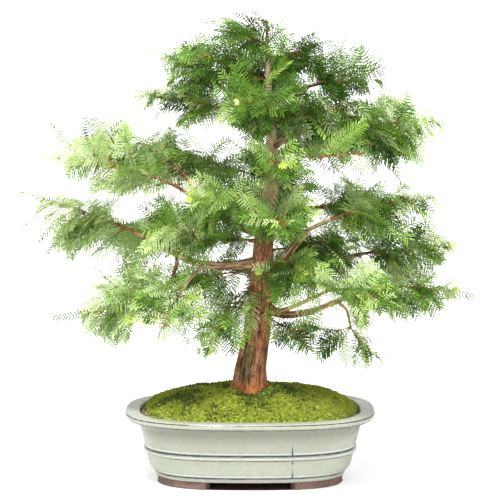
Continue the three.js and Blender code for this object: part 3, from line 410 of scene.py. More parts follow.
GLAZE = (0.44, 0.48, 0.385)
GLAZE_WARM = (0.50, 0.51, 0.42)
GLAZE_SPECK = (0.25, 0.2, 0.12)
GLAZE_POOLED = (0.07, 0.11, 0.13)
GLAZE_BLUE = (0.015, 0.05, 0.085)
GLAZE_RUN_BLUE = (0.02, 0.12, 0.20)
GLAZE_BROWN = (0.07, 0.045, 0.025)
# dark where the glaze breaks on the rim's top edge, and painted shadow under the lip's edge
GLAZE_DARK_EDGE_AND_SHADOW = (0.06, 0.045, 0.03)
# painted highlight
GLAZE_PAINTED_HIGHLIGHT = (0.80, 0.82, 0.73)
GLAZE_SHADED = (0.13, 0.14, 0.10)
# Where glaze pools or breaks along a line, with painted highlights on the belts' edges and painted shade at
# the lip: its height and half-width, its tone and its strength.
GLAZE_LINES = [
    (100.7, 1.1, GLAZE_DARK_EDGE_AND_SHADOW, 0.95),
    # painted shade on the lip's face
    (97.4, 2.4, GLAZE_SHADED, 0.16),
    # painted shadow under the lip's edge
    (94.1, 1.4, GLAZE_DARK_EDGE_AND_SHADOW, 0.9),
    # painted highlights along the belts' edges, here and below
    (55.4, 1.5, GLAZE_PAINTED_HIGHLIGHT, 0.7),
    (52.6, 1.4, GLAZE_BLUE, 0.95),
    (51.0, 0.7, GLAZE_POOLED, 0.35),
    (48.4, 1.2, GLAZE_PAINTED_HIGHLIGHT, 0.6),
    (45.2, 1.2, GLAZE_BROWN, 0.95),
    (20.6, 1.4, GLAZE_PAINTED_HIGHLIGHT, 0.8),
    (17.4, 1.5, GLAZE_BLUE, 0.95),
]
# Painted shade under the lip: how it darkens the glaze from a height up to the lip's underside, and how far
# past that it has stopped.
GLAZE_SHADE = {"from": 90.4, "to": 60, "depth": 0.66, "stops": (1.5, 2.5)}
GLAZE_ENDS = 11.4  # the height below which the clay is bare
GLAZE_EDGE = 0.5
CLAY = (0.21, 0.12, 0.09)
CLAY_PALE = (0.27, 0.185, 0.15)
SOIL = (0.055, 0.032, 0.018)
SOIL_PALE = (0.16, 0.10, 0.06)
# Of the barks: the fibres' width and length, how much is weathered and flaky, and the tones.
BARK_LOOKS = {
    "trunk": {
        "fibre": (1.0, 8), "weathered": 0.42, "flaky": 0.5,
        "under": (0.30, 0.105, 0.035), "over": (0.64, 0.31, 0.15), "grey": (0.40, 0.36, 0.18),
        "dark": (0.055, 0.028, 0.015), "foot": (0.70, 0.20, 0.05), "high": (1.0, 0.74, 0.48),
        "rust": (0.60, 0.19, 0.07), "algae": (0.17, 0.18, 0.075),
    },
    "bough": {
        "fibre": (1.0, 12), "weathered": 0.35, "flaky": 0.28,
        "under": (0.32, 0.14, 0.06), "over": (0.86, 0.60, 0.35), "grey": (0.70, 0.59, 0.39),
        "dark": (0.08, 0.035, 0.018),
    },
    "twig": {
        "fibre": (0.7, 7), "weathered": 0.2, "flaky": 0.3,
        "under": (0.26, 0.085, 0.03), "over": (0.50, 0.23, 0.08), "grey": (0.42, 0.36, 0.2),
        "dark": (0.1, 0.04, 0.025),
    },
}
STEM_TONES = [(0.2, 0.3, 0.05), (0.36, 0.22, 0.08)]
NEEDLE_TONES = {
    "deep": (0.022, 0.072, 0.008),
    "green": (0.092, 0.25, 0.026),
    "fresh": (0.25, 0.49, 0.08),
    "pale": (0.45, 0.67, 0.31),
    "new": (0.44, 0.66, 0.11),
}
# How a needle's tone may change: red, green and blue, each multiplied and then added to.
NEEDLE_TINTS = {
    "darker": [(0.62, 0), (0.62, 0), (0.62, 0)],
    "paler": [(1.5, 0.02), (1.28, 0.02), (1.2, 0.01)],
    "yellowed": [(1.35, 0), (1.08, 0), (0.8, 0)],
}
YELLOWED_SHARE = 0.6
SLENDER_TONES = ("deep", "green", "green", "fresh")
MOSS_TONES = {
    "dark": (0.022, 0.045, 0.003),
    "green": (0.19, 0.29, 0.014),
    "gold": (0.64, 0.66, 0.06),
    "brown": (0.14, 0.07, 0.02),
}
GRIT_TONES = {"cream": (0.62, 0.5, 0.33), "brown": (0.13, 0.06, 0.03)}

# ---------------------------------------------------------------- the camera

CAMERA = {
    "distance": 5000,
    "elevation": 7.9,
    "target": (-0.2, 0, 330.6),
    "view_width": 712,
    "sensor": 36,
    "sees_to": 100,  # metres
}
FLOOR = {
    "radius": 60000,
    "sides": 64,
    "below": 0.3,
    "color": (0.8, 0.8, 0.8),
    "color_2": (0.83, 0.83, 0.83),
    "glow": 0.5,
}
PAINTED_POT_SHADOW = {"inset": 50, "edge": 0.02, "tone": (0.10, 0.05, 0.04)}  # painted shadow on the floor under the pot
# The sun lamps' strength, softness in degrees, and how they are turned from straight down.
LIGHT = {"sky": 0.72, "suns": [("key", 3.6, 14, (26, -10, 0)), ("fill", 0.5, 60, (62, 24, 0))]}


# ---------------------------------------------------------------- small tools

def lerp(a, b, share):
    return a + (b - a) * share


def unit(v):
    return v / max(math.sqrt(v.dot(v)), 1e-9)


def cross(a, b):
    return np.array([a[1] * b[2] - a[2] * b[1], a[2] * b[0] - a[0] * b[2], a[0] * b[1] - a[1] * b[0]])


def turned(v, axis, angle):
    """v turned about a unit axis, anticlockwise."""
    c, s = math.cos(angle), math.sin(angle)
    return v * c + cross(axis, v) * s + axis * axis.dot(v) * (1 - c)


def units(rows):
    """Rows of vectors, each made one long."""
    return rows / np.linalg.norm(rows, axis=1)[:, None]


def gaps(line):
    """The distances from each point of a line to the next."""
    return np.linalg.norm(np.diff(line, axis=0), axis=1)


def run_of(line):
    """How far along a line each of its points is."""
    return np.concatenate([[0], np.cumsum(gaps(line))])


def sampled(line, at, places=None):
    """A line's points at some places, counted in points or as given for each of its points."""
    if places is None:
        places = np.arange(len(line))
    return np.stack([np.interp(at, places, line[:, k]) for k in range(3)], -1)


def through(points, places):
    """The centripetal curve through points, at places that are counted in points from the first."""
    points = np.asarray(points, float)
    places = np.asarray(places, float)
    padded = np.vstack([2 * points[0] - points[1], points, 2 * points[-1] - points[-2]])
    knots = np.concatenate([[0], np.cumsum(np.sqrt(gaps(padded)))])
    k = np.minimum(places.astype(int), len(points) - 2)
    t = [knots[k + i][:, None] for i in range(4)]
    u = t[1] + (places - k)[:, None] * (t[2] - t[1])

    def between(a, b, i, j):
        return a + (b - a) * (u - t[i]) / (t[j] - t[i])

    thirds = [between(padded[k + i], padded[k + i + 1], i, i + 1) for i in range(3)]
    halves = [between(thirds[i], thirds[i + 1], i, i + 2) for i in range(2)]
    return between(halves[0], halves[1], 1, 2)


def spaced(line, step):
    """A line's points moved to even distances of about a step, and each one's distance from the start."""
    run = run_of(line)
    distances = np.linspace(0, run[-1], max(int(run[-1] / step), 2) + 1)
    return sampled(line, distances, run), distances


def bend(start, lead, end, count):
    """A line of points that leaves its start towards lead and runs to its end."""
    t = np.linspace(0, 1, count)[:, None]
    return (1 - t) ** 2 * start + 2 * t * (1 - t) * lead + t ** 2 * end


def along(line):
    """The unit directions of a line of points."""
    return units(np.gradient(line, axis=0))


def closed_grid(rows, sides):
    """The quads of a grid whose rows are closed loops, facing out where the rows run up."""
    i = np.arange(rows - 1)[:, None] * sides
    j = np.arange(sides)[None, :]
    k = (j + 1) % sides
    return np.stack([i + j, i + k, i + sides + k, i + sides + j], -1).reshape(-1, 4)


def closing(first, sides, faces_up):
    """The one face that closes a loop of points."""
    loop = np.arange(first, first + sides)
    return (loop if faces_up else loop[::-1]).reshape(1, -1)


def capped(rows, sides, inside_out=False):
    """The faces of a closed body of rings: its sides, then a face over its first and its last ring."""
    quads = closed_grid(rows, sides)
    ends = [closing(0, sides, inside_out), closing((rows - 1) * sides, sides, not inside_out)]
    return [quads[:, ::-1] if inside_out else quads, *ends]


def tube(line, radii, sides):
    """The points and quads of a round tube along a line, and the angles of its sides."""
    ways = along(line)
    least = np.eye(3)[np.argmin(np.abs(ways).sum(0))]
    across = units(np.cross(ways, least))
    over = np.cross(ways, across)
    angles = 2 * np.pi * np.arange(sides) / sides
    spokes = across[:, None] * np.cos(angles)[None, :, None] + over[:, None] * np.sin(angles)[None, :, None]
    points = line[:, None] + np.asarray(radii)[:, None, None] * spokes
    return points.reshape(-1, 3), closed_grid(len(line), sides), angles


def gather_limbs(limbs, sides, shift, barked=False):
    """Limbs, each a middle line, radii and distances, as one mesh: its points, its quads and its notes.

    Grain is the place on the limb: across it twice, then along it, from a shift further on for each limb.
    """
    points, quads, grains, reliefs, total = [], [], [], [], 0
    for line, radii, run in limbs:
        wood, faces, angles = tube(line, radii, sides)
        angle, far = np.meshgrid(angles, run + shift * len(points))
        radius = np.repeat(radii, sides)
        grain = np.stack([np.cos(angle).ravel() * radius, np.sin(angle).ravel() * radius, far.ravel()], -1)
        if barked:
            relief = bark_relief(grain, radius)
            out = wood - np.repeat(line, sides, 0)
            wood = wood + out / radius[:, None] * relief[:, None]
            reliefs.append(relief * BOUGH_RELIEF)
        points.append(wood)
        quads.append(faces + total)
        grains.append(grain)
        total += len(wood)
    notes = {"grain": np.concatenate(grains) * MM}
    if barked:
        notes["relief"] = np.concatenate(reliefs)
    return np.concatenate(points), [np.concatenate(quads)], notes


def mesh_of(name, points, face_sets, smooth=True):
    """A mesh of points in millimetres and of arrays of faces, each array of one number of corners."""
    sets = [np.asarray(faces, np.int32) for faces in face_sets]
    corners = np.concatenate([faces.ravel() for faces in sets])
    sizes = np.concatenate([np.full(len(faces), faces.shape[1]) for faces in sets])
    mesh = bpy.data.meshes.new(name)
    mesh.vertices.add(len(points))
    mesh.vertices.foreach_set("co", (np.asarray(points, np.float32) * MM).ravel())
    mesh.loops.add(len(corners))
    mesh.loops.foreach_set("vertex_index", corners)
    mesh.polygons.add(len(sizes))
    mesh.polygons.foreach_set("loop_start", np.concatenate([[0], np.cumsum(sizes)[:-1]]).astype(np.int32))
    mesh.polygons.foreach_set("use_smooth", np.full(len(sizes), smooth))
    mesh.update(calc_edges=True)
    return mesh


def add_piece(name, points, face_sets, finish, slot, replaced, smooth=True, **notes):
    """Puts a mesh in the scene as a piece of the part, with its finish and the nodes that it stands for.

    Each note is a number or a vector for every point, which the finish reads.
    """
    mesh = mesh_of(name, points, face_sets, smooth)
    for label, values in notes.items():
        values = np.asarray(values, np.float32)
        wide = values.ndim == 2
        kept = mesh.attributes.new(label, "FLOAT_VECTOR" if wide else "FLOAT", "POINT")
        kept.data.foreach_set("vector" if wide else "value", values.ravel())
    piece = bpy.data.objects.new(name, mesh)
    bpy.context.scene.collection.objects.link(piece)
    mesh.materials.append(finish)
    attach(piece, "root")
    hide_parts(*replaced)


def uneven(points, size, seed):
    """Smooth noise from about -1 to 1 at each point, whose lumps have a size in millimetres."""
    shift = Vector([seed * step for step in NOISE_SHIFT])
    scaled = np.asarray(points) / size
    return np.array([noise.noise(Vector(p) + shift) for p in scaled])


def lumps(points, sizes, seed):
    """Noise of several sizes together, from rows of a size and a height."""
    return sum(height * uneven(points, size, seed + i) for i, (size, height) in enumerate(sizes))


def flat_noise(p, size, seed):
    """Smooth noise from about -1 to 1 at one place on the ground."""
    return noise.noise(Vector((p[0] / size, p[1] / size, seed)))


# ---------------------------------------------------------------- effects that the finishes share

def join(tree, sockets, values):
    """Sets a node's inputs, or joins them where the value is another node's socket."""
    for key, value in values.items():
        if isinstance(value, bpy.types.NodeSocket):
            tree.links.new(value, sockets[key])
        else:
            sockets[key].default_value = value


def add(tree, kind, inputs=None, **settings):
    """Adds a node with its settings and its inputs."""
    made = tree.nodes.new("ShaderNode" + kind)
    for key, value in settings.items():
        setattr(made, key, value)
    join(tree, made.inputs, inputs or {})
    return made


def blend(tree, share, first, second):
    """A colour between two, as a socket."""
    made = add(tree, "Mix", {0: share}, data_type="RGBA")
    for key, color in ((6, first), (7, second)):
        join(tree, made.inputs, {key: (*color, 1) if isinstance(color, tuple) else color})
    return made.outputs[2]


def number(tree, kind, first, second=0.0, third=0.0):
    """The outcome of a sum of a kind, as a socket."""
    return add(tree, "Math", {0: first, 1: second, 2: third}, operation=kind).outputs[0]


def times(tree, first, second):
    return number(tree, "MULTIPLY", first, second)


def step_between(tree, value, low, high, to_low=0.0, to_high=1.0):
    """Runs smoothly from one number to another while value goes from low to high."""
    inputs = {"Value": value, "From Min": low, "From Max": high, "To Min": to_low, "To Max": to_high}
    return add(tree, "MapRange", inputs, interpolation_type="SMOOTHSTEP").outputs["Result"]


def axes(tree, place):
    """A place's X, Y and Z, as sockets."""
    return add(tree, "SeparateXYZ", {"Vector": place}).outputs


def cloudy(tree, place, scale, detail=2.0, roughness=0.5):
    """Smooth noise from 0 to 1, as a socket."""
    inputs = {"Vector": place, "Scale": scale, "Detail": detail, "Roughness": roughness}
    return add(tree, "TexNoise", inputs).outputs["Fac"]


def new_group(name, inputs, outputs):
    """An empty shader group: its tree, what its named inputs give, and the sockets of its outputs.

    An input of None is a vector, and any other is a number.
    """
    tree = bpy.data.node_groups.new(name, "ShaderNodeTree")
    for label, value in inputs.items():
        kind = "NodeSocketVector" if value is None else "NodeSocketFloat"
        socket = tree.interface.new_socket(label, in_out="INPUT", socket_type=kind)
        if value is not None:
            socket.default_value = value
    for label in outputs:
        tree.interface.new_socket(label, in_out="OUTPUT", socket_type="NodeSocketFloat")
    return tree, tree.nodes.new("NodeGroupInput").outputs, tree.nodes.new("NodeGroupOutput").inputs


def mottling():
    """Soft patches. Share is how much of the surface they cover."""
    inputs = {"Place": None, "Size": 0.02, "Share": 0.5, "Edge": 0.1}
    tree, given, out = new_group("mottling", inputs, ["Patches"])
    scale = number(tree, "DIVIDE", 1.0, given["Size"])
    spread = cloudy(tree, given["Place"], scale, detail=3.0, roughness=0.55)
    level = step_between(tree, given["Share"], 0.0, 1.0, 0.72, 0.28)
    rise = number(tree, "DIVIDE", number(tree, "SUBTRACT", spread, level), given["Edge"])
    soft = add(tree, "Clamp", {"Value": number(tree, "ADD", rise, 0.5)})
    join(tree, out, {"Patches": soft.outputs[0]})


def speckling():
    """Small round specks, a few to many. Size is the room that each one has."""
    inputs = {"Place": None, "Size": 0.003, "Share": 0.3}
    tree, given, out = new_group("speckling", inputs, ["Specks", "Each"])
    scale = number(tree, "DIVIDE", 1.0, given["Size"])
    cells = add(tree, "TexVoronoi", {"Vector": given["Place"], "Scale": scale, "Randomness": 1.0})
    parts = add(tree, "SeparateColor", {"Color": cells.outputs["Color"]}).outputs
    chosen = number(tree, "LESS_THAN", parts[0], given["Share"])
    dot = step_between(tree, cells.outputs["Distance"], 0.18, 0.42, 1.0, 0.0)
    join(tree, out, {"Specks": times(tree, chosen, dot), "Each": parts[1]})


def fibres():
    """Bark fibres that run along a limb. Grain is the place on the limb: across it twice, then along it."""
    inputs = {"Grain": None, "Width": 0.002, "Length": 0.03}
    tree, given, out = new_group("bark_fibres", inputs, ["Height", "Strips"])
    across = number(tree, "DIVIDE", 1.0, given["Width"])
    lengthways = number(tree, "DIVIDE", 1.0, given["Length"])
    scales = add(tree, "CombineXYZ", {"X": across, "Y": across, "Z": lengthways}).outputs[0]
    stretch = add(tree, "VectorMath", {0: given["Grain"], 1: scales}, operation="MULTIPLY").outputs[0]
    coarse = cloudy(tree, stretch, scale=0.45)
    fine = cloudy(tree, stretch, scale=1.5, detail=3.0, roughness=0.6)
    ridged = number(tree, "ABSOLUTE", number(tree, "SUBTRACT", fine, 0.5))
    height = number(tree, "MULTIPLY_ADD", ridged, -1.6, coarse)
    join(tree, out, {"Height": height, "Strips": step_between(tree, coarse, 0.42, 0.6)})


def pooled_line():
    """A dark line where glaze pools at a height, uneven along its length."""
    inputs = {"Place": None, "Height": 0.05, "Width": 0.0012}
    tree, given, out = new_group("pooled_line", inputs, ["Line"])
    uneven_width = step_between(tree, cloudy(tree, given["Place"], scale=90.0), 0.25, 0.75, 0.75, 1.35)
    width = times(tree, given["Width"], uneven_width)
    above = number(tree, "SUBTRACT", axes(tree, given["Place"])["Z"], given["Height"])
    away = number(tree, "DIVIDE", number(tree, "ABSOLUTE", above), width)
    join(tree, out, {"Line": step_between(tree, away, 0.35, 1.0, 1.0, 0.0)})


# ---------------------------------------------------------------- finishes

def new_finish(name):
    """A material with its shader, and the place on the surface in metres."""
    material = bpy.data.materials.new(name)
    material.use_nodes = True
    tree = material.node_tree
    place = add(tree, "TexCoord").outputs["Object"]
    return material, tree, tree.nodes["Principled BSDF"], place


def use(tree, effect, inputs):
    """Places a shared effect in a finish."""
    made = add(tree, "Group", node_tree=bpy.data.node_groups[effect])
    join(tree, made.inputs, inputs)
    return made.outputs


def patches(tree, place, size, share, edge):
    """Soft patches of a size in millimetres, as a mask."""
    inputs = {"Place": place, "Size": size * MM, "Share": share, "Edge": edge}
    return use(tree, "mottling", inputs)["Patches"]


def specks(tree, place, size, share):
    """Specks of a size in millimetres: their mask, and a number for each one."""
    return use(tree, "speckling", {"Place": place, "Size": size * MM, "Share": share})


def noted(tree, name, kind="Fac"):
    """What a mesh notes for its points, as a socket."""
    return add(tree, "Attribute", attribute_name=name).outputs[kind]


def bump(tree, shader, height, distance):
    """Raises a surface by a height from 0 to 1, times a distance in metres."""
    made = add(tree, "Bump", {"Height": height, "Distance": distance, "Strength": 1.0})
    join(tree, shader.inputs, {"Normal": made.outputs["Normal"]})


def glaze_finish():
    """Pale celadon glaze: it pools dark in the creases and blue where it ran, with painted highlights on
    edges and painted shade at the lip.
    """
    material, tree, shader, place = new_finish("glaze")
    cloud = patches(tree, place, size=45, share=0.5, edge=0.5)
    color = blend(tree, cloud, GLAZE, GLAZE_WARM)
    iron = specks(tree, place, size=4.2, share=0.1)["Specks"]
    color = blend(tree, times(tree, iron, 0.35), color, GLAZE_SPECK)
    height = axes(tree, place)["Z"]
    # painted shade under the lip
    color = blend(tree, shade_under_lip(tree, height), color, GLAZE_SHADED)
    # pooled and broken glaze, painted highlights and painted shade, line by line
    for level, width, tone, strength in GLAZE_LINES:
        line = use(tree, "pooled_line", {"Place": place, "Height": level * MM, "Width": width * MM})["Line"]
        color = blend(tree, times(tree, line, strength), color, tone)
    for bottom, top in GLAZE_RUNS:
        color = blend(tree, glaze_run(tree, place, bottom, top), color, GLAZE_RUN_BLUE)
    low, high = (GLAZE_ENDS - GLAZE_EDGE) * MM, (GLAZE_ENDS + GLAZE_EDGE) * MM
    bare = step_between(tree, height, low, high, 1.0, 0.0)
    join(tree, shader.inputs, {
        "Base Color": blend(tree, bare, color, CLAY),
        "Roughness": step_between(tree, cloud, 0.0, 1.0, 0.2, 0.34),
        "Coat Weight": 0.3,
        "Coat Roughness": 0.08,
    })
    bump(tree, shader, cloudy(tree, place, scale=130.0), distance=0.00035)
    return material


def shade_under_lip(tree, height):
    """How much painted shade the glaze gets, most just under the lip and none low down or on the lip."""
    low, high = GLAZE_SHADE["to"] * MM, GLAZE_SHADE["from"] * MM
    near = step_between(tree, height, low, high, 0.0, GLAZE_SHADE["depth"])
    full, none = (high + past * MM for past in GLAZE_SHADE["stops"])
    return times(tree, near, step_between(tree, height, full, none, 1.0, 0.0))


def glaze_run(tree, place, bottom, top):
    """A streak down the front from one height to another, as a mask."""
    parts = axes(tree, place)
    away = number(tree, "ABSOLUTE", number(tree, "SUBTRACT", parts["X"], GLAZE_RUN["x"] * MM))
    half = GLAZE_RUN["width"] * MM
    narrowing = step_between(tree, parts["Z"], bottom * MM, top * MM, 1.0, GLAZE_RUN["narrowest"])
    aside = number(tree, "DIVIDE", away, narrowing)
    beside = step_between(tree, aside, GLAZE_RUN["solid"] * half, half, 1.0, 0.0)
    above = step_between(tree, parts["Z"], *((bottom + past) * MM for past in GLAZE_RUN["bottom"]))
    below = step_between(tree, parts["Z"], *((top + past) * MM for past in GLAZE_RUN["top"]), 1.0, 0.0)
    front = number(tree, "LESS_THAN", parts["Y"], 0.0)
    return times(tree, times(tree, beside, front), times(tree, above, below))


def clay_finish():
    """Bare unglazed clay, red-brown, gritty and a little sooty."""
    material, tree, shader, place = new_finish("bare_clay")
    color = blend(tree, patches(tree, place, size=12, share=0.45, edge=0.3), CLAY, CLAY_PALE)
    sand = specks(tree, place, size=1.3, share=0.35)["Specks"]
    color = blend(tree, times(tree, sand, 0.5), color, SOIL)
    join(tree, shader.inputs, {"Base Color": color, "Roughness": 0.8})
    bump(tree, shader, sand, distance=0.0003)
    return material


def soil_finish():
    """Dark damp soil of small crumbs."""
    material, tree, shader, place = new_finish("soil")
    crumbs = specks(tree, place, size=2.2, share=0.8)
    color = blend(tree, crumbs["Each"], SOIL, SOIL_PALE)
    join(tree, shader.inputs, {"Base Color": color, "Roughness": 0.95})
    bump(tree, shader, crumbs["Specks"], distance=0.001)
    return material


def grit_finish(name, tone):
    """A stone's finish: its own tone, paler and darker from stone to stone."""
    material, tree, shader, place = new_finish("grit_" + name)
    darker = tuple(GRIT["darker"] * c for c in tone)
    color = blend(tree, patches(tree, place, size=1.6, share=0.5, edge=0.4), darker, tone)
    join(tree, shader.inputs, {"Base Color": color, "Roughness": 0.75})
    return material


def moss_finish(name, tone, other):
    """Moss of one tone, which wanders towards another, with painted shade down between its tufts."""
    material, tree, shader, place = new_finish("moss_" + name)
    color = blend(tree, patches(tree, place, size=4, share=0.45, edge=0.25), tone, other)
    # painted shade, darkest at the tufts' feet and on the carpet between them
    low = step_between(tree, noted(tree, "height"), 0.0, 0.8, 0.75, 0.0)
    color = blend(tree, low, color, MOSS_TONES["dark"])
    join(tree, shader.inputs, {"Base Color": color, "Roughness": 0.9, "Sheen Weight": 0.15})
    bump(tree, shader, cloudy(tree, place, scale=900.0), distance=0.0006)
    return material


def bark_finish(limb):
    """Stringy bark: strips of one brown over another, grey-green in patches, with painted shade in the
    creases.
    """
    material, tree, shader, place = new_finish(limb + "_bark")
    strips = BARK_LOOKS[limb]
    width, length = strips["fibre"]
    grain = noted(tree, "grain", "Vector")
    bark = use(tree, "bark_fibres", {"Grain": grain, "Width": width * MM, "Length": length * MM})
    wide = use(tree, "bark_fibres", {"Grain": grain, "Width": 3 * width * MM, "Length": 2 * length * MM})
    color = blend(tree, bark["Strips"], strips["under"], strips["over"])
    worn = times(tree, patches(tree, place, size=30, share=strips["weathered"], edge=0.2), wide["Strips"])
    color = blend(tree, times(tree, worn, 0.6), color, strips["grey"])
    if "rust" in strips:
        color = stained(tree, color, bark["Strips"], strips)
    flakes = times(tree, patches(tree, place, size=5, share=0.42, edge=0.12), strips["flaky"])
    cracks = step_between(tree, bark["Height"], 0.08, 0.34, 0.75, 0.0)
    # painted shade, darker the deeper the crease
    shaded_creases = step_between(tree, noted(tree, "relief"), -2.4, -0.6, 0.95, 0.0)
    for mask in (flakes, cracks, shaded_creases):
        color = blend(tree, mask, color, strips["dark"])
    if "foot" in strips:
        color = aged_and_lit(tree, color, axes(tree, place)["Z"], bark["Height"], strips)
    roughness = step_between(tree, bark["Strips"], 0.0, 1.0, 0.95, 0.75)
    join(tree, shader.inputs, {"Base Color": color, "Roughness": roughness})
    bump(tree, shader, bark["Height"], distance=0.0011)
    return material


def aged_and_lit(tree, color, height, fibre_height, strips):
    """Paler high up, where the bark is younger and with painted light on it, and redder at its foot, most on
    the raised strips.
    """
    ages = [
        (YOUNG_AND_LIT_BARK, strips["high"], step_between(tree, fibre_height, 0.1, 0.38, 0.25, 1.0)),
        (FRESH_BARK, strips["foot"], step_between(tree, fibre_height, 0.1, 0.4)),
    ]
    for age, tone, raised in ages:
        (low, at_low), (high, at_high) = sorted([(age["from"] * MM, 0.0), (age["to"] * MM, age["share"])])
        share = step_between(tree, height, low, high, at_low, at_high)
        color = blend(tree, times(tree, share, raised), color, tone)
    return color


def stained(tree, color, strips_mask, strips):
    """Rust-red where the bark is freshly shed and green-grey where algae grow, most on the raised strips."""
    stain = noted(tree, "stain")
    grip = step_between(tree, strips_mask, 0.0, 1.0, 0.55, 1.0)
    red = times(tree, step_between(tree, stain, 0.05, 1.0), grip)
    green = times(tree, step_between(tree, stain, -1.0, -0.05, 1.0, 0.0), grip)
    return blend(tree, green, blend(tree, red, color, strips["rust"]), strips["algae"])


def tinted(tone, tint):
    """A needle's tone as a tint changes it."""
    return tuple(min(factor * part + more, 1) for part, (factor, more) in zip(tone, NEEDLE_TINTS[tint]))


def needle_finish(name, tone):
    """A needle's green, which varies from spray to spray and pales towards its tip."""
    material, tree, shader, place = new_finish("needles_" + name)
    patch = patches(tree, place, size=30, share=0.5, edge=0.5)
    color = blend(tree, noted(tree, "shade"), tinted(tone, "darker"), tinted(tone, "paler"))
    yellowed = times(tree, patch, YELLOWED_SHARE)
    join(tree, shader.inputs, {
        "Base Color": blend(tree, yellowed, color, tinted(tone, "yellowed")),
        "Roughness": step_between(tree, patch, 0.0, 1.0, 0.5, 0.68),
        "Specular IOR Level": 0.15,
    })
    return material


def stem_finish():
    """The green of a spray's own stem, reddish in places."""
    material, tree, shader, place = new_finish("stem_green")
    color = blend(tree, patches(tree, place, size=20, share=0.4, edge=0.2), *STEM_TONES)
    join(tree, shader.inputs, {"Base Color": color, "Roughness": 0.6})
    return material


# ---------------------------------------------------------------- pot, feet, soil and moss

def even_angles(count):
    """Angles whose points lie at even distances along the pot's rim."""
    dense = np.linspace(0, 2 * np.pi, RIM_SAMPLES)
    run = run_of(oval(0, dense, 0))
    return np.interp(np.linspace(0, run[-1], count + 1)[:-1], run, dense)


def oval(inset, angles, z):
    """Points of the oval that lies an inset inside the rim's outline."""
    power = 2 / POT["squareness"]
    c, s = np.cos(angles), np.sin(angles)
    x = (POT["half_length"] - inset) * np.sign(c) * np.abs(c) ** power
    y = (POT["half_depth"] - inset) * np.sign(s) * np.abs(s) ** power
    return np.stack([x, y, np.full_like(x, z)], -1)


def rounded(profile):
    """A profile with its corners rounded."""
    corners = np.array(profile, float)
    smooth = [corners[0]]
    most = ROUNDING["most"]
    for before, at, after in zip(corners, corners[1:], corners[2:]):
        cut = min(ROUNDING["radius"], most * math.dist(before, at), most * math.dist(at, after))
        start = at + cut * unit(before - at)
        end = at + cut * unit(after - at)
        smooth.extend(bend(start, at, end, ROUNDING["points"]))
    return smooth + [corners[-1]]


def make_pot(finish):
    angles = even_angles(POT_SIDES)
    profile = rounded(POT_PROFILE)
    points = np.concatenate([oval(inset, angles, z) for inset, z in profile])
    add_piece("glazed_pot", points, capped(len(profile), POT_SIDES), finish, "glaze", ["pot"])


def foot_points():
    """One foot, which follows the pot's underside round a quarter: rows from its inner edge to its outer."""
    def angle_at(share):
        return math.acos(share ** (POT["squareness"] / 2))

    start = math.pi / 2 - angle_at(FOOT["gap_end"] / (POT["half_depth"] - FOOT["outer_inset"]))
    end = angle_at(FOOT["gap_front"] / (POT["half_length"] - FOOT["outer_inset"]))
    angles = np.linspace(start, end, FOOT["steps"] + 1)
    outer, inner = oval(FOOT["outer_inset"], angles, 0), oval(FOOT["inner_inset"], angles, 0)
    lifted, low = UP * FOOT["height"], UP * FOOT["softness"]
    high = [lerp(inner, outer, FOOT["taper"]) + lifted, lerp(outer, inner, FOOT["taper"]) + lifted]
    cut_in, cut_out = lerp(inner, outer, FOOT["cut"]), lerp(outer, inner, FOOT["cut"])
    return np.stack([cut_in, inner + low, *high, outer + low, cut_out], 1)


def make_feet(finish):
    rows = foot_points()
    points, quads, ends = [], [], []
    for k, (x, y) in enumerate([(1, 1), (-1, 1), (-1, -1), (1, -1)]):
        points.append((rows * np.array([x, y, 1])).reshape(-1, 3))
        grid, *caps = [faces + k * rows[..., 0].size for faces in capped(*rows.shape[:2], x * y < 0)]
        quads.append(grid)
        ends += caps
    faces = [np.concatenate(quads), np.concatenate(ends)]
    add_piece("clay_feet", np.concatenate(points), faces, finish, "glaze", ["pot"], smooth=False)


def bed_height(table, share):
    """A height that depends on how far out in the pot's opening a place is."""
    shares, heights = zip(*table)
    return np.interp(share, shares, heights)


def bed_points(shares, angles, table):
    rings = oval(BED_INSET, angles, 0)[None, :, :2] * shares[:, None, None]
    heights = np.broadcast_to(bed_height(table, shares)[:, None], rings.shape[:2])
    return np.concatenate([rings, heights[..., None]], -1)


def make_soil(finish):
    angles = even_angles(POT_SIDES)
    shares = np.linspace(SOIL_RINGS["from"], 1.0, SOIL_RINGS["count"])
    top = bed_points(shares, angles, SOIL_TOP).reshape(-1, 3)
    top[:, 2] += lumps(top, SOIL_LUMPS, NOISE_SEEDS["soil"])
    skirt = [oval(inset, angles, z) for inset, z in SOIL_SKIRT]
    faces = capped(len(shares) + len(skirt), POT_SIDES, inside_out=True)
    add_piece("soil_bed", np.concatenate([top, *skirt]), faces, finish, "soil", ["soil"])


def moss_surface(shares, angles):
    """The moss mound's points: lumpy, and lowest at the pot's rim."""
    flat = bed_points(shares, angles, MOSS_TOP).reshape(-1, 3)
    room = np.repeat(np.clip((1 - shares) / MOSS_FLATTER["within"], MOSS_FLATTER["least"], 1), len(angles))
    away = np.hypot(flat[:, 0] - MOSS_DIP["x"], flat[:, 1] - MOSS_DIP["y"]) / MOSS_DIP["reach"]
    raised = room * lumps(flat, MOSS_LUMPS, NOISE_SEEDS["moss"])
    flat[:, 2] += raised - MOSS_DIP["depth"] * np.exp(-away ** 2)
    return flat


def moss_edge(angle):
    """How far out the moss grows, which varies round the rim and leaves bare soil in places."""
    size = MOSS_RAGGED["size"]
    place = Vector((math.cos(angle) * size, math.sin(angle) * size, NOISE_SEEDS["moss_edge"]))
    ragged = 0.5 + 0.5 * noise.noise(place)
    reach = 1 - MOSS_RAGGED["depth"] * ragged
    for at, narrowness, depth in MOSS_BARE:
        reach -= max(0.0, math.cos(angle - at)) ** narrowness * depth
    return reach


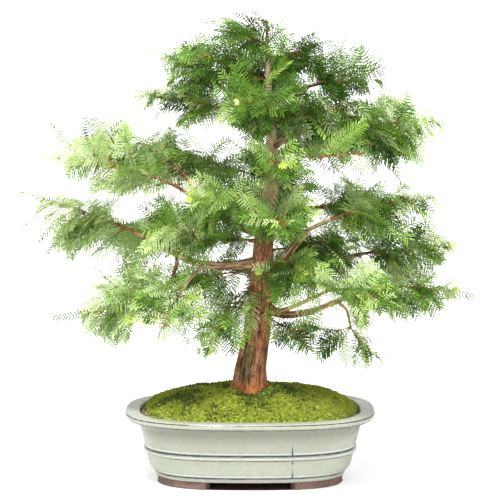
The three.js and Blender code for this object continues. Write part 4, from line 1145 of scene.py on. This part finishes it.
def moss_tone(p, random):
    """Which tone a tuft has: gold and green by patches, with brown and dark mixed in."""
    patch = sum(strength * flat_noise(p, size, seed) for size, strength, seed in MOSS_PATCHES)
    gold = patch + MOSS_GOLD["rightward"] * (p[0] - MOSS_GOLD["from"]) - MOSS_GOLD["forward"] * p[1]
    gold += random.uniform(-MOSS_GOLD["chance"], MOSS_GOLD["chance"])
    gold += MOSS_ENDS["gold"] * (p[0] / MOSS_ENDS["at"]) ** 4
    if flat_noise(p, MOSS_BROWN["size"], MOSS_BROWN["seed"]) > random.uniform(*MOSS_BROWN["above"]):
        return "brown"
    away = math.hypot(p[0] - TRUNK[0, 0] + MOSS_DARK["aside"], p[1])
    near_trunk = math.exp(-away / MOSS_DARK["reach"])
    if gold - MOSS_DARK["share"] * near_trunk < random.uniform(*MOSS_DARK["below"]):
        return "dark"
    return "gold" if gold > MOSS_GOLD["above"] else "green"


def make_moss(finishes):
    rings, sides = MOSS_RINGS["count"], MOSS_RINGS["sides"]
    angles = even_angles(sides)
    shares = np.linspace(MOSS_RINGS["from"], MOSS_TOP[-1][0], rings)
    grid = moss_surface(shares, angles).reshape(rings, sides, 3)
    grid[:, :, :2] *= np.array([moss_edge(a) for a in angles])[None, :, None]
    points = grid.reshape(-1, 3)
    # painted shade on the carpet between the tufts, in patches
    rough = uneven(points, MOSS_SHADE["size"], NOISE_SEEDS["moss_shade"])
    shade = MOSS_SHADE["mean"] + MOSS_SHADE["spread"] * rough
    faces = capped(rings, sides, inside_out=True)[:2]
    add_piece("moss_carpet", points, faces, finishes["green"], "moss", ["moss"], height=shade)
    make_tufts(finishes, grid, np.random.default_rng(SEED))


def make_tufts(finishes, grid, rng):
    """Small leafy points all over the moss, sorted by tone."""
    random = Random(SEED)
    rings, sides = grid.shape[:2]
    tufts = {tone: [] for tone in finishes}
    for _ in range(TUFTS["count"]):
        i = int((rings - 1) * math.sqrt(random.random()))
        j = random.randrange(sides)
        p = lerp(grid[i, j], grid[min(i + 1, rings - 1), (j + 1) % sides], random.random())
        if math.hypot(p[0] - TRUNK[0, 0], p[1]) > TRUNK[0, 3] - TUFTS["in_bark"]:
            tufts[moss_tone(p, random)].append(p)
    for tone, places in tufts.items():
        if places:
            add_tufts("moss_tufts_" + tone, np.array(places), finishes[tone], rng)


def add_tufts(name, places, finish, rng):
    """A piece of tufts. Each tuft is a few leaflets that splay from a point."""
    count, leaves = len(places), TUFTS["leaves"]
    turn = rng.uniform(0, 2 * np.pi, (count, 1)) + 2 * np.pi * np.arange(leaves) / leaves
    radius = rng.uniform(*TUFTS["radius"], (count, 1))[..., None]
    height = rng.uniform(*TUFTS["height"], (count, 1)) * rng.uniform(TUFTS["shortest"], 1, (count, leaves))
    foot = places[:, None] - UP * TUFTS["sunk"]
    out = np.stack([np.cos(turn), np.sin(turn), np.zeros_like(turn)], -1)
    side = np.stack([-np.sin(turn), np.cos(turn), np.zeros_like(turn)], -1)
    tip = foot + out * (TUFTS["lean"] * height)[..., None] + UP * height[..., None]
    wide = TUFTS["width"] * radius
    at_foot, at_waist = side * TUFTS["foot_width"] * wide, side * wide
    middle = lerp(foot, tip, TUFTS["waist"]) + out * (TUFTS["bulge"] * radius)
    points = np.stack([foot + at_foot, foot - at_foot, middle + at_waist, middle - at_waist, tip], 2)
    first = len(TUFT_SHADE) * np.arange(count * leaves)[:, None]
    faces = np.concatenate([first + np.array(face) for face in TUFT_FACES])
    shade = np.tile(TUFT_SHADE, count * leaves)
    add_piece(name, points.reshape(-1, 3), [faces], finish, "moss", ["moss"], height=shade)


def make_grit(finishes):
    """Loose stones on the soil along the rim, where the moss leaves it bare."""
    random = Random(SEED + GRIT["seed"])
    stones = {tone: [] for tone in finishes}
    for _ in range(GRIT["count"]):
        angle = random.choice(GRIT["at"]) + random.gauss(0, GRIT["spread"])
        if random.random() < GRIT["strays"]:
            angle = random.uniform(0, 2 * math.pi)
        share = random.uniform(*GRIT["share"])
        x, y = oval(BED_INSET, np.array([angle]), 0)[0, :2] * share
        z = float(bed_height(SOIL_TOP, share)) + random.uniform(0, GRIT["heap"])
        tone = "cream" if random.random() < GRIT["cream"] else "brown"
        stones[tone].append((x, y, z, random.uniform(*GRIT["size"])))
    for tone, places in stones.items():
        add_stones("grit_" + tone, places, finishes[tone], random)


def add_stones(name, places, finish, random):
    """A piece of broken stones, each one a dented octahedron."""
    corners, faces = np.array(STONE_CORNERS, float), np.array(STONE_FACES)
    points, index = [], []
    for x, y, z, size in places:
        turn = random.uniform(0, math.pi)
        stone = [turned(c * size * random.uniform(*GRIT["dents"]), UP, turn) for c in corners]
        index.append(faces + len(corners) * len(index))
        points.append(np.array(stone) * (1, 1, GRIT["flatness"]) + (x, y, z))
    add_piece(name, np.concatenate(points), [np.concatenate(index)], finish, "soil", ["soil"], smooth=False)


# ---------------------------------------------------------------- trunk and boughs

def trunk_at(heights):
    """The trunk's middle line and radius at heights."""
    heights = np.atleast_1d(np.asarray(heights, float))
    places = np.interp(heights, TRUNK[:, 2], np.arange(len(TRUNK)))
    centres = through(TRUNK[:, :3], places)
    centres[:, 2] = heights
    return centres, np.interp(heights, TRUNK[:, 2], TRUNK[:, 3])


def trunk_swell(angle, z):
    """How much wider than its radius the trunk is: fluted, and spread into roots at its foot."""
    flare = FLARE["share"] * np.exp((TRUNK[0, 2] - z) / FLARE["reach"])
    root = 0.5 + 0.5 * np.cos(FLARE["roots"] * angle + FLARE["turn"])
    return 1 + flare * root + FLUTES["share"] * np.cos(FLUTES["count"] * angle - z / FLUTES["rise"])


def bark_relief(grain, radii):
    """How far bark stands in or out, in millimetres: long strips, with finer fibres on them."""
    stretched = grain / np.array([1, 1, BARK["stretch"]])
    strips, threads, swell = [
        uneven(stretched, BARK[size], NOISE_SEEDS[seed])
        for size, seed in (("strip", "strips"), ("thread", "threads"), ("swell", "swell"))
    ]
    height = BARK["rise"] * (1 - BARK["ridges"] * np.abs(strips) - BARK["level"])
    height = height + BARK["thread_rise"] * threads + BARK["swell_rise"] * swell
    return np.clip(radii / BARK["full_at"], BARK["least"], 1) * height


def streaks(angle, z, rows, sway):
    """How strong some streaks up the trunk are, of which each fades at both ends.

    A row is an angle in degrees, the heights from and to, the strength and the half-width in radians.
    """
    amount = np.zeros_like(z)
    for degrees, low, high, strength, half in rows:
        wander = sway["turn"] * np.sin(z / sway["wave"] + sway["phase"] * degrees)
        away = np.angle(np.exp(1j * (angle - math.radians(degrees) - wander)))
        ends = np.clip((z - low) / sway["fade"], 0, 1) * np.clip((high - z) / sway["fade"], 0, 1)
        amount += strength * np.exp(-((away / half) ** 2)) * ends
    return amount


def stain(angle, z, grain):
    """Where the trunk's bark is rust-red, above 0, and where it is green with algae, below 0."""
    rows = [(*row, math.radians(half)) for *row, half in TRUNK_STAINS]
    stretched = grain / np.array([1, 1, STAIN_EDGE["stretch"]])
    rough = uneven(stretched, STAIN_EDGE["size"], NOISE_SEEDS["stains"]).reshape(z.shape)
    ragged = STAIN_EDGE["rough"] * rough
    return streaks(angle, z, rows, STAIN_SWAY) * (1 + ragged) + STAIN_EDGE["scatter"] * ragged


def knot(angle, z, radius):
    """A healed cut: a swollen ring round a sunken middle."""
    across = np.angle(np.exp(1j * (angle - math.radians(KNOT["angle"])))) * radius
    away = np.hypot(across, KNOT["squash"] * (z - KNOT["z"])) / KNOT["size"]
    at, width = KNOT["ring"]
    depth, reach = KNOT["hollow"]
    return KNOT["rise"] * (np.exp(-(((away - at) / width) ** 2)) - depth * np.exp(-((away / reach) ** 2)))


def make_trunk(finish):
    heights = np.arange(TRUNK[0, 2], TRUNK[-1, 2], TRUNK_STEP)
    centres, radii = trunk_at(heights)
    angles = 2 * np.pi * np.arange(TRUNK_SIDES) / TRUNK_SIDES
    angle, z = np.meshgrid(angles, heights)
    radius = np.broadcast_to(radii[:, None], z.shape)
    spokes = np.stack([np.cos(angle), np.sin(angle), 0 * z], -1)
    lean = angle + BARK["wave"] * np.sin(z / BARK["wave_height"])
    grain = np.stack([np.cos(lean) * radius, np.sin(lean) * radius, z], -1).reshape(-1, 3)
    relief = bark_relief(grain, radius.ravel()).reshape(z.shape)
    shape = knot(angle, z, radius) - streaks(angle, z, TRUNK_CREASES, CREASE_SWAY)
    out = radius * trunk_swell(angle, z) + relief + shape
    points = (centres[:, None] + spokes * out[..., None]).reshape(-1, 3)
    notes = {
        "grain": grain * MM,
        "relief": (relief + CREASE_SHADE * np.minimum(shape, 0)).ravel(),
        "stain": stain(angle, z, grain).ravel(),
    }
    add_piece("bark_trunk", points, capped(len(heights), TRUNK_SIDES), finish, "bark", ["trunk"], **notes)


def bough_line(points):
    places = np.linspace(0, len(points) - 1, CURVE_STEPS * len(points))
    return through(points, places)


def collar_start(line, distances):
    """How far along a bough its parent's surface is."""
    centres, radii = trunk_at(line[:, 2])
    inside = np.linalg.norm((line - centres)[:, :2], axis=1) < radii
    return distances[inside].max() if inside[0] else COLLAR["inside"]


def make_boughs(finish):
    limbs = []
    for _, (thick, thin), through_points in BOUGHS:
        line, distances = spaced(bough_line(through_points), BOUGH_STEP)
        radii = lerp(thick, thin, distances / distances[-1])
        past = np.maximum(distances - collar_start(line, distances), 0)
        limbs.append((line, radii * (1 + COLLAR["share"] * np.exp(-past / COLLAR["reach"])), distances))
    points, faces, notes = gather_limbs(limbs, BOUGH_SIDES, BOUGH_SHIFT, barked=True)
    replaced = ["bough_" + name for name, _, _ in BOUGHS]
    add_piece("bark_boughs", points, faces, finish, "bark", replaced, **notes)


# ---------------------------------------------------------------- foliage

class Crown:
    """What has grown so far: the twigs, the green stems of the sprays, and the needles by tone."""

    def __init__(self, room):
        self.room = room
        self.twigs = []
        self.stems = []
        self.needles = {tone: [] for tone in NEEDLE_TONES}
        self.limbs = limb_points()

    def hits_limb(self, points):
        """Whether any of some points is inside a limb or too near to it."""
        away = np.linalg.norm(self.limbs[:, None, :3] - points[None], axis=2)
        return bool((away < self.limbs[:, None, 3] + LIMB_ROOM["width"]).any())


def limb_points():
    """The middle lines and radii of the trunk and the boughs, but for their thin ends."""
    heights = np.arange(TRUNK[0, 2], TRUNK[-1, 2] - LIMB_ROOM["below_tip"], LIMB_ROOM["trunk_step"])
    centres, radii = trunk_at(heights)
    rows = [np.column_stack([centres, radii])]
    for _, (thick, thin), points in BOUGHS:
        line, distances = spaced(bough_line(points), LIMB_ROOM["bough_step"])
        share = distances / distances[-1]
        kept = share < LIMB_ROOM["of_bough"]
        rows.append(np.column_stack([line, lerp(thick, thin, share)])[kept])
    return np.concatenate(rows)


def depth_in(space, p):
    """How far out in a mass' space a point lies: 0 at its middle and 1 at its edge."""
    centre, half = space
    return np.linalg.norm((p - centre) / half, axis=-1)


def mass_space(centre, half):
    """A mass' space is an egg round its middle. Only the twigs to its own points leave it."""
    return np.array(centre, float), np.array(half, float) * FULLNESS


def stem_root(carrier, centre):
    """Where a mass' stem starts, which way it leaves its limb, how far it keeps that way, and its radius."""
    if carrier == "trunk_tip":
        return TRUNK[-1, :3].copy(), UP.copy(), STEM["follow"], TRUNK[-1, 3]
    if isinstance(carrier, str):
        radii, points = next((radii, points) for name, radii, points in BOUGHS if name == carrier)
        line = bough_line(points)
        return line[-1], unit(line[-1] - line[-2]), STEM["follow_bough"], radii[1]
    start = trunk_at(carrier)[0][0]
    out = unit((np.array(centre) - start) * (1, 1, 0))
    return start, out, STEM["follow"], STEM["radius"][0]


def shoot_line(start, parent_way, end, follow):
    """A curve from a point on its parent, which leads off between its parent's direction and its end's."""
    way = end - start
    reach = math.sqrt(way.dot(way))
    lead = unit(lerp(way / reach, parent_way, follow))
    return bend(start, start + lead * STEM["lead"] * reach, end, STEM["points"])


def edge_of_space(space, start, way):
    """How far a line from a point in a mass' space runs to the edge of the space."""
    reaches = np.arange(EDGE_SEARCH["from"], EDGE_SEARCH["to"], EDGE_SEARCH["step"])
    inside = depth_in(space, start + way * reaches[:, None]) < EDGE_SEARCH["within"]
    return float(reaches[min(int(np.argmin(inside)), len(reaches) - 1)])


def facing(line, random):
    """The way that a twig's sprays face: up, turned about the twig towards the outside of the tree."""
    chord = unit(line[-1] - line[0])
    normal = unit(UP - chord * chord[2])
    tip = line[-1]
    out = np.array([tip[0] - CROWN_MIDDLE, 2 * tip[1], 0.0])
    hand = 1 if cross(normal, out).dot(chord) >= 0 else -1
    return turned(normal, chord, hand * math.radians(random.uniform(*TWIG["roll"])))


def seen_height(p):
    """The height at which a point is seen against the middle plane, as the camera looks a little down."""
    return p[..., 2] + p[..., 1] * math.tan(math.radians(CAMERA["elevation"]))


def in_ovals(p, ovals, chance):
    """Whether any of some points is seen in an oval that chance doesn't let it into."""
    x, z = p[:, 0], seen_height(p)
    return any(
        (((x - cx) / a) ** 2 + ((z - cz) / b) ** 2 < 1).any()
        for cx, cz, a, b, share in ovals
        if chance >= share
    )


def kept_clear(crown, probes, chance):
    """Whether some points are where the crown stays open, in a limb, or past the plant's whole room."""
    inset = ROOM_INSET["sprays"]
    if ((probes < crown.room[0] + inset) | (probes > crown.room[1] - inset)).any():
        return True
    in_front = (probes[:, 1] < 0).any()
    if in_ovals(probes, SKY, chance) or in_front and in_ovals(probes, TRUNK_SHOWS, chance):
        return True
    return crown.hits_limb(probes)


def side_twig(space, stem, ways, place, hand, random):
    """A twig from a place on the stem, to one side of it, that runs to the edge of the mass' space."""
    share = place / (len(stem) - 1)
    i = int(place)
    start = lerp(stem[i], stem[min(i + 1, len(stem) - 1)], place - i)
    way = unit(ways[i] * (1, 1, TWIG["flatter"]))
    way = turned(way, UP, hand * math.radians(random.uniform(*TWIG["turn"])))
    way[2] = random.uniform(*TWIG["rise"])
    way = unit(way)
    shortest, longest = TWIG["reach"]
    reach = min(max(edge_of_space(space, start, way), shortest), longest) * (1 - TWIG["taper"] * share)
    end = start + way * reach * random.uniform(TWIG["shortest"], 1)
    return shoot_line(start, ways[i], end, STEM["follow"])


def reaching_twig(stem, ways, end):
    """A twig to one of the mass' further points, from the place on the stem that suits it best."""
    places = np.arange(1, len(stem) - 3)
    toward = end - stem[places]
    lengths = np.linalg.norm(toward, axis=1)
    slant = np.arccos(np.clip((toward * ways[places]).sum(1) / lengths, -1, 1))
    best = places[np.argmin(np.abs(slant - math.radians(TWIG["slant"])) + lengths / TWIG["per_radian"])]
    return shoot_line(stem[best], ways[best], end, STEM["follow"])


def grow_mass(crown, number, spaces):
    """One mass: its stem, the twigs to its further points, and pairs of side twigs, all with sprays."""
    _, carrier, centre, _, reach = MASSES[number]
    random = Random(SEED + number)
    start, way, follow, thick = stem_root(carrier, centre)
    stem = shoot_line(start, way, np.array(reach[0], float), follow)
    ways = along(stem)
    space = spaces[number]
    add_twig(crown, space, stem, (thick, STEM["radius"][1]), random, True)
    for point in reach[1:]:
        twig = reaching_twig(stem, ways, np.array(point, float))
        add_twig(crown, space, twig, TWIG["radius"], random, True)
    pairs = max(int(gaps(stem).sum() * (1 - TWIG["from"]) / TWIG["every"]), 2)
    for k in range(pairs):
        for hand in (1, -1):
            share = lerp(TWIG["from"], TWIG["to"], (k + random.uniform(*TWIG["strays"])) / pairs)
            for _ in range(TWIG["tries"]):
                twig = side_twig(space, stem, ways, share * (len(stem) - 1), hand, random)
                if keeps_to_space(twig, number, spaces):
                    add_twig(crown, space, twig, TWIG["radius"], random)
                    break


def keeps_to_space(twig, number, spaces):
    """Whether a twig stays in its mass' space, nearer to that mass' middle than to any other's."""
    probes = twig[TWIG["probes"]]
    own = depth_in(spaces[number], probes)
    if (own > TWIG["outside"]).any():
        return False
    others = (depth_in(space, probes) for i, space in enumerate(spaces) if i != number)
    return all((other > own - TWIG["mingling"]).all() for other in others)


def add_twig(crown, space, line, radii, random, reaching=False):
    """A twig that ends in a spray, with shorter and shorter sprays on either side in turn."""
    inset = ROOM_INSET["twigs"]
    line, distances = spaced(np.clip(line, crown.room[0] + inset, crown.room[1] - inset), TWIG["step"])
    length = distances[-1]
    wood = length - min(random.uniform(*SPRAY["length"]), SPRAY["most_of_twig"] * length)
    split = int(np.searchsorted(distances, wood))
    crown.twigs.append((line[:split + 1], lerp(*radii, distances[:split + 1] / wood)))
    ways = along(line)
    normal = facing(line, random)
    hand = random.choice((1, -1))
    at = (SPRAY["bare_when_reaching"] if reaching else SPRAY["from"]) * length
    while at < wood:
        i = int(np.searchsorted(distances, at))
        way = turned(ways[i], unit(normal), hand * math.radians(random.uniform(*SPRAY["turn"])))
        left = SPRAY["shortening"] * (length - at) + SPRAY["shortest"]
        full = min(random.uniform(*SPRAY["length"]), left)
        grow_side_spray(crown, space, line[i], way, normal, full, random)
        hand = -hand
        at += SPRAY["every"] * random.uniform(*SPRAY["strays"])
    stem = sampled(line, np.linspace(split, len(line) - 2, SPRAY["segments"] + 1))
    if not kept_clear(crown, stem[SPRAY["probes"]], random.random()):
        add_spray(crown, space, stem, normal, random, True, SPRAY["slender"] if reaching else 1)


def grow_side_spray(crown, space, foot, way, normal, length, random):
    """A spray that leaves a twig and droops a little. It is cut shorter where it would leave its mass."""
    roll = math.radians(random.gauss(0, SPRAY["roll"]))
    normal = turned(unit(normal - way * normal.dot(way)), way, roll)
    below, more = SPRAY["hanging"]
    droop = random.uniform(*SPRAY["droop"]) + more * max(below - foot[2], 0)
    for _ in range(SPRAY["tries"]):
        end = foot + unit(way - UP * droop) * length
        if depth_in(space, end) < SPRAY["edge"]:
            break
        length *= SPRAY["cut"]
    stem = bend(foot, foot + way * SPRAY["lead"] * length, end, SPRAY["segments"] + 1)
    if length > SPRAY["shortest"] and not kept_clear(crown, stem[SPRAY["probes"]], random.random()):
        add_spray(crown, space, stem, normal, random)


def add_spray(crown, space, stem, normal, random, ends_twig=False, fullness=1):
    crown.stems.append(stem)
    tone = spray_tone(space, stem[-1], random, ends_twig, fullness)
    crown.needles[tone].append(spray_needles(crown.room, stem, normal, random, fullness))


def spray_tone(space, tip, random, ends_twig, fullness):
    """A spray's tone: darker inside the crown, as painted shade, and paler outside it, on top and towards
    the crown's sides, as painted light; and new growth at some ends.
    """
    if fullness < 1:
        return random.choice(SLENDER_TONES)
    centre, half = space
    # painted shade inside the mass, and painted light on its upper side, at the crown's sides and to the
    # left
    outward = float(depth_in(space, tip)) + PAINTED_LIGHT["over"] * (tip[2] - centre[2]) / half[2]
    outward += random.gauss(0, SPRAY["mix"])
    outward += PAINTED_LIGHT["aside"] * abs(tip[0] - CROWN_MIDDLE) + PAINTED_LIGHT["leftward"] * (CROWN_MIDDLE - tip[0])
    darker = outward - DARKER["upward"] * max(tip[2] - DARKER["above"], 0)
    outward = max(darker, min(outward, DARKER["least"]))
    if ends_twig and outward > NEW_GROWTH["from"] and random.random() < NEW_GROWTH["share"]:
        return "new"
    return next(tone for tone, least in TONE_FROM.items() if outward > least)


def needle_frames(stem, normal, share, rng):
    """Where a spray's needles start, left and right in turn, which way they point, and which is across."""
    place = share * (len(stem) - 1)
    foot, way = sampled(stem, place), sampled(along(stem), place)
    side = units(np.cross(normal, way))
    hand = np.tile([1.0, -1.0], len(share) // 2)
    turn = np.radians(lerp(*NEEDLE["turn"], share) + rng.normal(0, NEEDLE["turn_strays"], len(share)))
    lift = rng.uniform(*NEEDLE["lift"], len(share))
    out = way * np.cos(turn)[:, None] + side * (hand * np.sin(turn))[:, None] + normal * lift[:, None]
    out = units(out)
    return foot, out, units(np.cross(out, normal))


def needle_lengths(length, share, fullness, rng):
    """How long a spray's needles are: longest along its middle, and shorter on a short spray."""
    at_ends, more = NEEDLE["at_ends"]
    start, stretch, roundness = NEEDLE["middle"]
    envelope = at_ends + more * np.sin(np.pi * np.clip(start + stretch * share, 0, 1)) ** roundness
    least, rest = NEEDLE["on_short"]
    grown = fullness * min(1, least + rest * length / NEEDLE["full_length_on"])
    grown = grown * rng.uniform(*NEEDLE["variety"])
    return rng.uniform(*NEEDLE["length"], len(share)) * envelope * grown


def spray_needles(room, stem, normal, random, fullness):
    """The points of a spray's needles, six to each, and their shades.

    A needle is left out where it would pass the end of the room that the whole plant has.
    """
    rng = np.random.default_rng(random.randrange(1 << 30))
    length = gaps(stem).sum()
    count = max(int(length / NEEDLE["every"]), NEEDLE["fewest"])
    strays = rng.uniform(-NEEDLE["strays"], NEEDLE["strays"], 2 * count) / count
    share = np.clip(np.repeat((np.arange(count) + NEEDLE["first"]) / count, 2) + strays, SPRAY["bare"], 1)
    foot, out, across = needle_frames(stem, normal, share, rng)
    reach = needle_lengths(length, share, fullness, rng)
    u, v = np.array(NEEDLE_OUTLINE).T
    points = foot[:, None] + out[:, None] * (u[None] * reach[:, None])[..., None]
    points = points + across[:, None] * (v[None, :, None] * NEEDLE["width"])
    points[..., 2] -= NEEDLE["droop"] * u[None] ** 2 * reach[:, None]
    shade = random.random() * NEEDLE_SHADE["by_spray"]
    shade = shade + rng.uniform(0, NEEDLE_SHADE["by_needle"], len(share))[:, None]
    shade = shade + NEEDLE_SHADE["tipward"] * (u[None] + share[:, None])
    kept = ((points > room[0]) & (points < room[1])).all((1, 2))
    return points[kept].reshape(-1, 3), shade[kept].ravel()


def add_wood(crown, twig_finish, stem_finish, replaced):
    """All twigs as one piece and all green stems as another."""
    twigs = [(line, radii, run_of(line)) for line, radii in crown.twigs]
    points, faces, notes = gather_limbs(twigs, TWIG["sides"], TWIG["shift"])
    add_piece("twigs", points, faces, twig_finish, "bark", replaced, **notes)
    stems = []
    for line in crown.stems:
        line = line[::2]
        radii = np.linspace(SPRAY["radius"], SPRAY["tip_radius"], len(line))
        stems.append((line, radii, run_of(line)))
    points, faces, notes = gather_limbs(stems, SPRAY["sides"], TWIG["shift"])
    add_piece("spray_stems", points, faces, stem_finish, "needles", replaced, **notes)


def add_needles(crown, finishes, replaced):
    """The needles of each tone, in pieces of no more than a set number of needles."""
    corners = len(NEEDLE_OUTLINE)
    for tone, sprays in crown.needles.items():
        parts = max(math.ceil(sum(len(p) for p, _ in sprays) / corners / NEEDLES_IN_PIECE), 1)
        for k in range(parts):
            chosen = sprays[k::parts]
            if not chosen:
                continue
            points, shade = (np.concatenate(values) for values in zip(*chosen))
            first = corners * np.arange(len(points) // corners)[:, None]
            faces = np.concatenate([first + np.array(face) for face in NEEDLE_FACES])
            name = f"needles_{tone}_{k + 1}"
            add_piece(name, points, [faces], finishes[tone], "needles", replaced, shade=shade)


def make_foliage(room, finishes, twig_finish, stem_finish):
    crown = Crown(room)
    spaces = [mass_space(centre, half) for _, _, centre, half, _ in MASSES]
    for number in range(len(MASSES)):
        grow_mass(crown, number, spaces)
    replaced = ["foliage_" + mass[0] for mass in MASSES]
    add_wood(crown, twig_finish, stem_finish, replaced)
    add_needles(crown, finishes, replaced)


# ---------------------------------------------------------------- floor, light and camera

def covered_by_pot(tree, place):
    """Where the floor lies under the pot's body, as a mask."""
    power = POT["squareness"]
    parts = axes(tree, place)
    shares = []
    for axis, half in (("X", POT["half_length"]), ("Y", POT["half_depth"])):
        away = number(tree, "ABSOLUTE", parts[axis])
        share = number(tree, "DIVIDE", away, (half - PAINTED_POT_SHADOW["inset"]) * MM)
        shares.append(number(tree, "POWER", share, power))
    edge = PAINTED_POT_SHADOW["edge"] * power
    return step_between(tree, number(tree, "ADD", *shares), 1 - edge, 1 + edge, 1.0, 0.0)


def floor_finish():
    """Pale paper that glows a little for the camera, but for the painted shadow under the pot."""
    material, tree, shader, place = new_finish("floor_paper")
    fleck = patches(tree, place, size=500, share=0.5, edge=0.8)
    color = blend(tree, fleck, FLOOR["color"], FLOOR["color_2"])
    # painted shadow under the pot
    covered = covered_by_pot(tree, place)
    color = blend(tree, covered, color, PAINTED_POT_SHADOW["tone"])
    seen = add(tree, "LightPath").outputs["Is Camera Ray"]
    open_floor = number(tree, "SUBTRACT", 1.0, covered)
    join(tree, shader.inputs, {
        "Base Color": color,
        "Roughness": 0.9,
        "Emission Color": (1, 1, 1, 1),
        "Emission Strength": times(tree, times(tree, seen, open_floor), FLOOR["glow"]),
    })
    return material


def make_floor():
    sides = FLOOR["sides"]
    angles = 2 * np.pi * np.arange(sides) / sides
    ring = np.stack([np.cos(angles), np.sin(angles), 0 * angles], -1) * FLOOR["radius"]
    mesh = mesh_of("floor", ring - UP * FLOOR["below"], [closing(0, sides, True)])
    floor = bpy.data.objects.new("floor", mesh)
    bpy.context.scene.collection.objects.link(floor)
    mesh.materials.append(floor_finish())


def make_light():
    world = bpy.data.worlds.new("studio")
    bpy.context.scene.world = world
    world.use_nodes = True
    sky = world.node_tree.nodes["Background"]
    sky.inputs["Color"].default_value = (1, 1, 1, 1)
    sky.inputs["Strength"].default_value = LIGHT["sky"]
    for name, strength, softness, turn in LIGHT["suns"]:
        sun = bpy.data.lights.new(name, "SUN")
        sun.energy = strength
        sun.angle = math.radians(softness)
        lamp = bpy.data.objects.new(name, sun)
        lamp.rotation_euler = [math.radians(a) for a in turn]
        bpy.context.scene.collection.objects.link(lamp)
    bpy.context.scene.view_settings.view_transform = "Standard"


def make_camera():
    lens = bpy.data.cameras.new("camera")
    lens.sensor_width = CAMERA["sensor"]
    lens.lens = CAMERA["sensor"] * CAMERA["distance"] / CAMERA["view_width"]
    lens.clip_end = CAMERA["sees_to"]
    camera = bpy.data.objects.new("camera", lens)
    tilt = math.radians(CAMERA["elevation"])
    away = Vector((0, -math.cos(tilt), math.sin(tilt))) * CAMERA["distance"] * MM
    camera.location = Vector(CAMERA["target"]) * MM + away
    camera.rotation_euler = (math.pi / 2 - tilt, 0, 0)
    bpy.context.scene.collection.objects.link(camera)
    bpy.context.scene.camera = camera


def plain(bounds):
    return [[float(v) for v in corner] for corner in bounds]


# ---------------------------------------------------------------- the whole planting

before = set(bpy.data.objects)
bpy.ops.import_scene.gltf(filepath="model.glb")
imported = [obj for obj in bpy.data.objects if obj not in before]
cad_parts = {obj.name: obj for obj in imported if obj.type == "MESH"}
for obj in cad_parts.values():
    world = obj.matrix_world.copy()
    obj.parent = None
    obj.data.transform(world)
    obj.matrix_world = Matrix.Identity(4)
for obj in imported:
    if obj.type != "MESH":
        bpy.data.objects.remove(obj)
solid_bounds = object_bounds()
make_camera()
make_light()
for effect in (mottling, speckling, fibres, pooled_line):
    effect()
make_floor()
make_pot(glaze_finish())
make_feet(clay_finish())
make_soil(soil_finish())
make_grit({name: grit_finish(name, tone) for name, tone in GRIT_TONES.items()})
make_moss({
    name: moss_finish(name, tone, MOSS_TONES["gold" if name == "green" else "green"])
    for name, tone in MOSS_TONES.items()
})
make_trunk(bark_finish("trunk"))
make_boughs(bark_finish("bough"))
make_foliage(
    np.array(plain(solid_bounds)) / MM,
    {name: needle_finish(name, tone) for name, tone in NEEDLE_TONES.items()},
    bark_finish("twig"),
    stem_finish(),
)
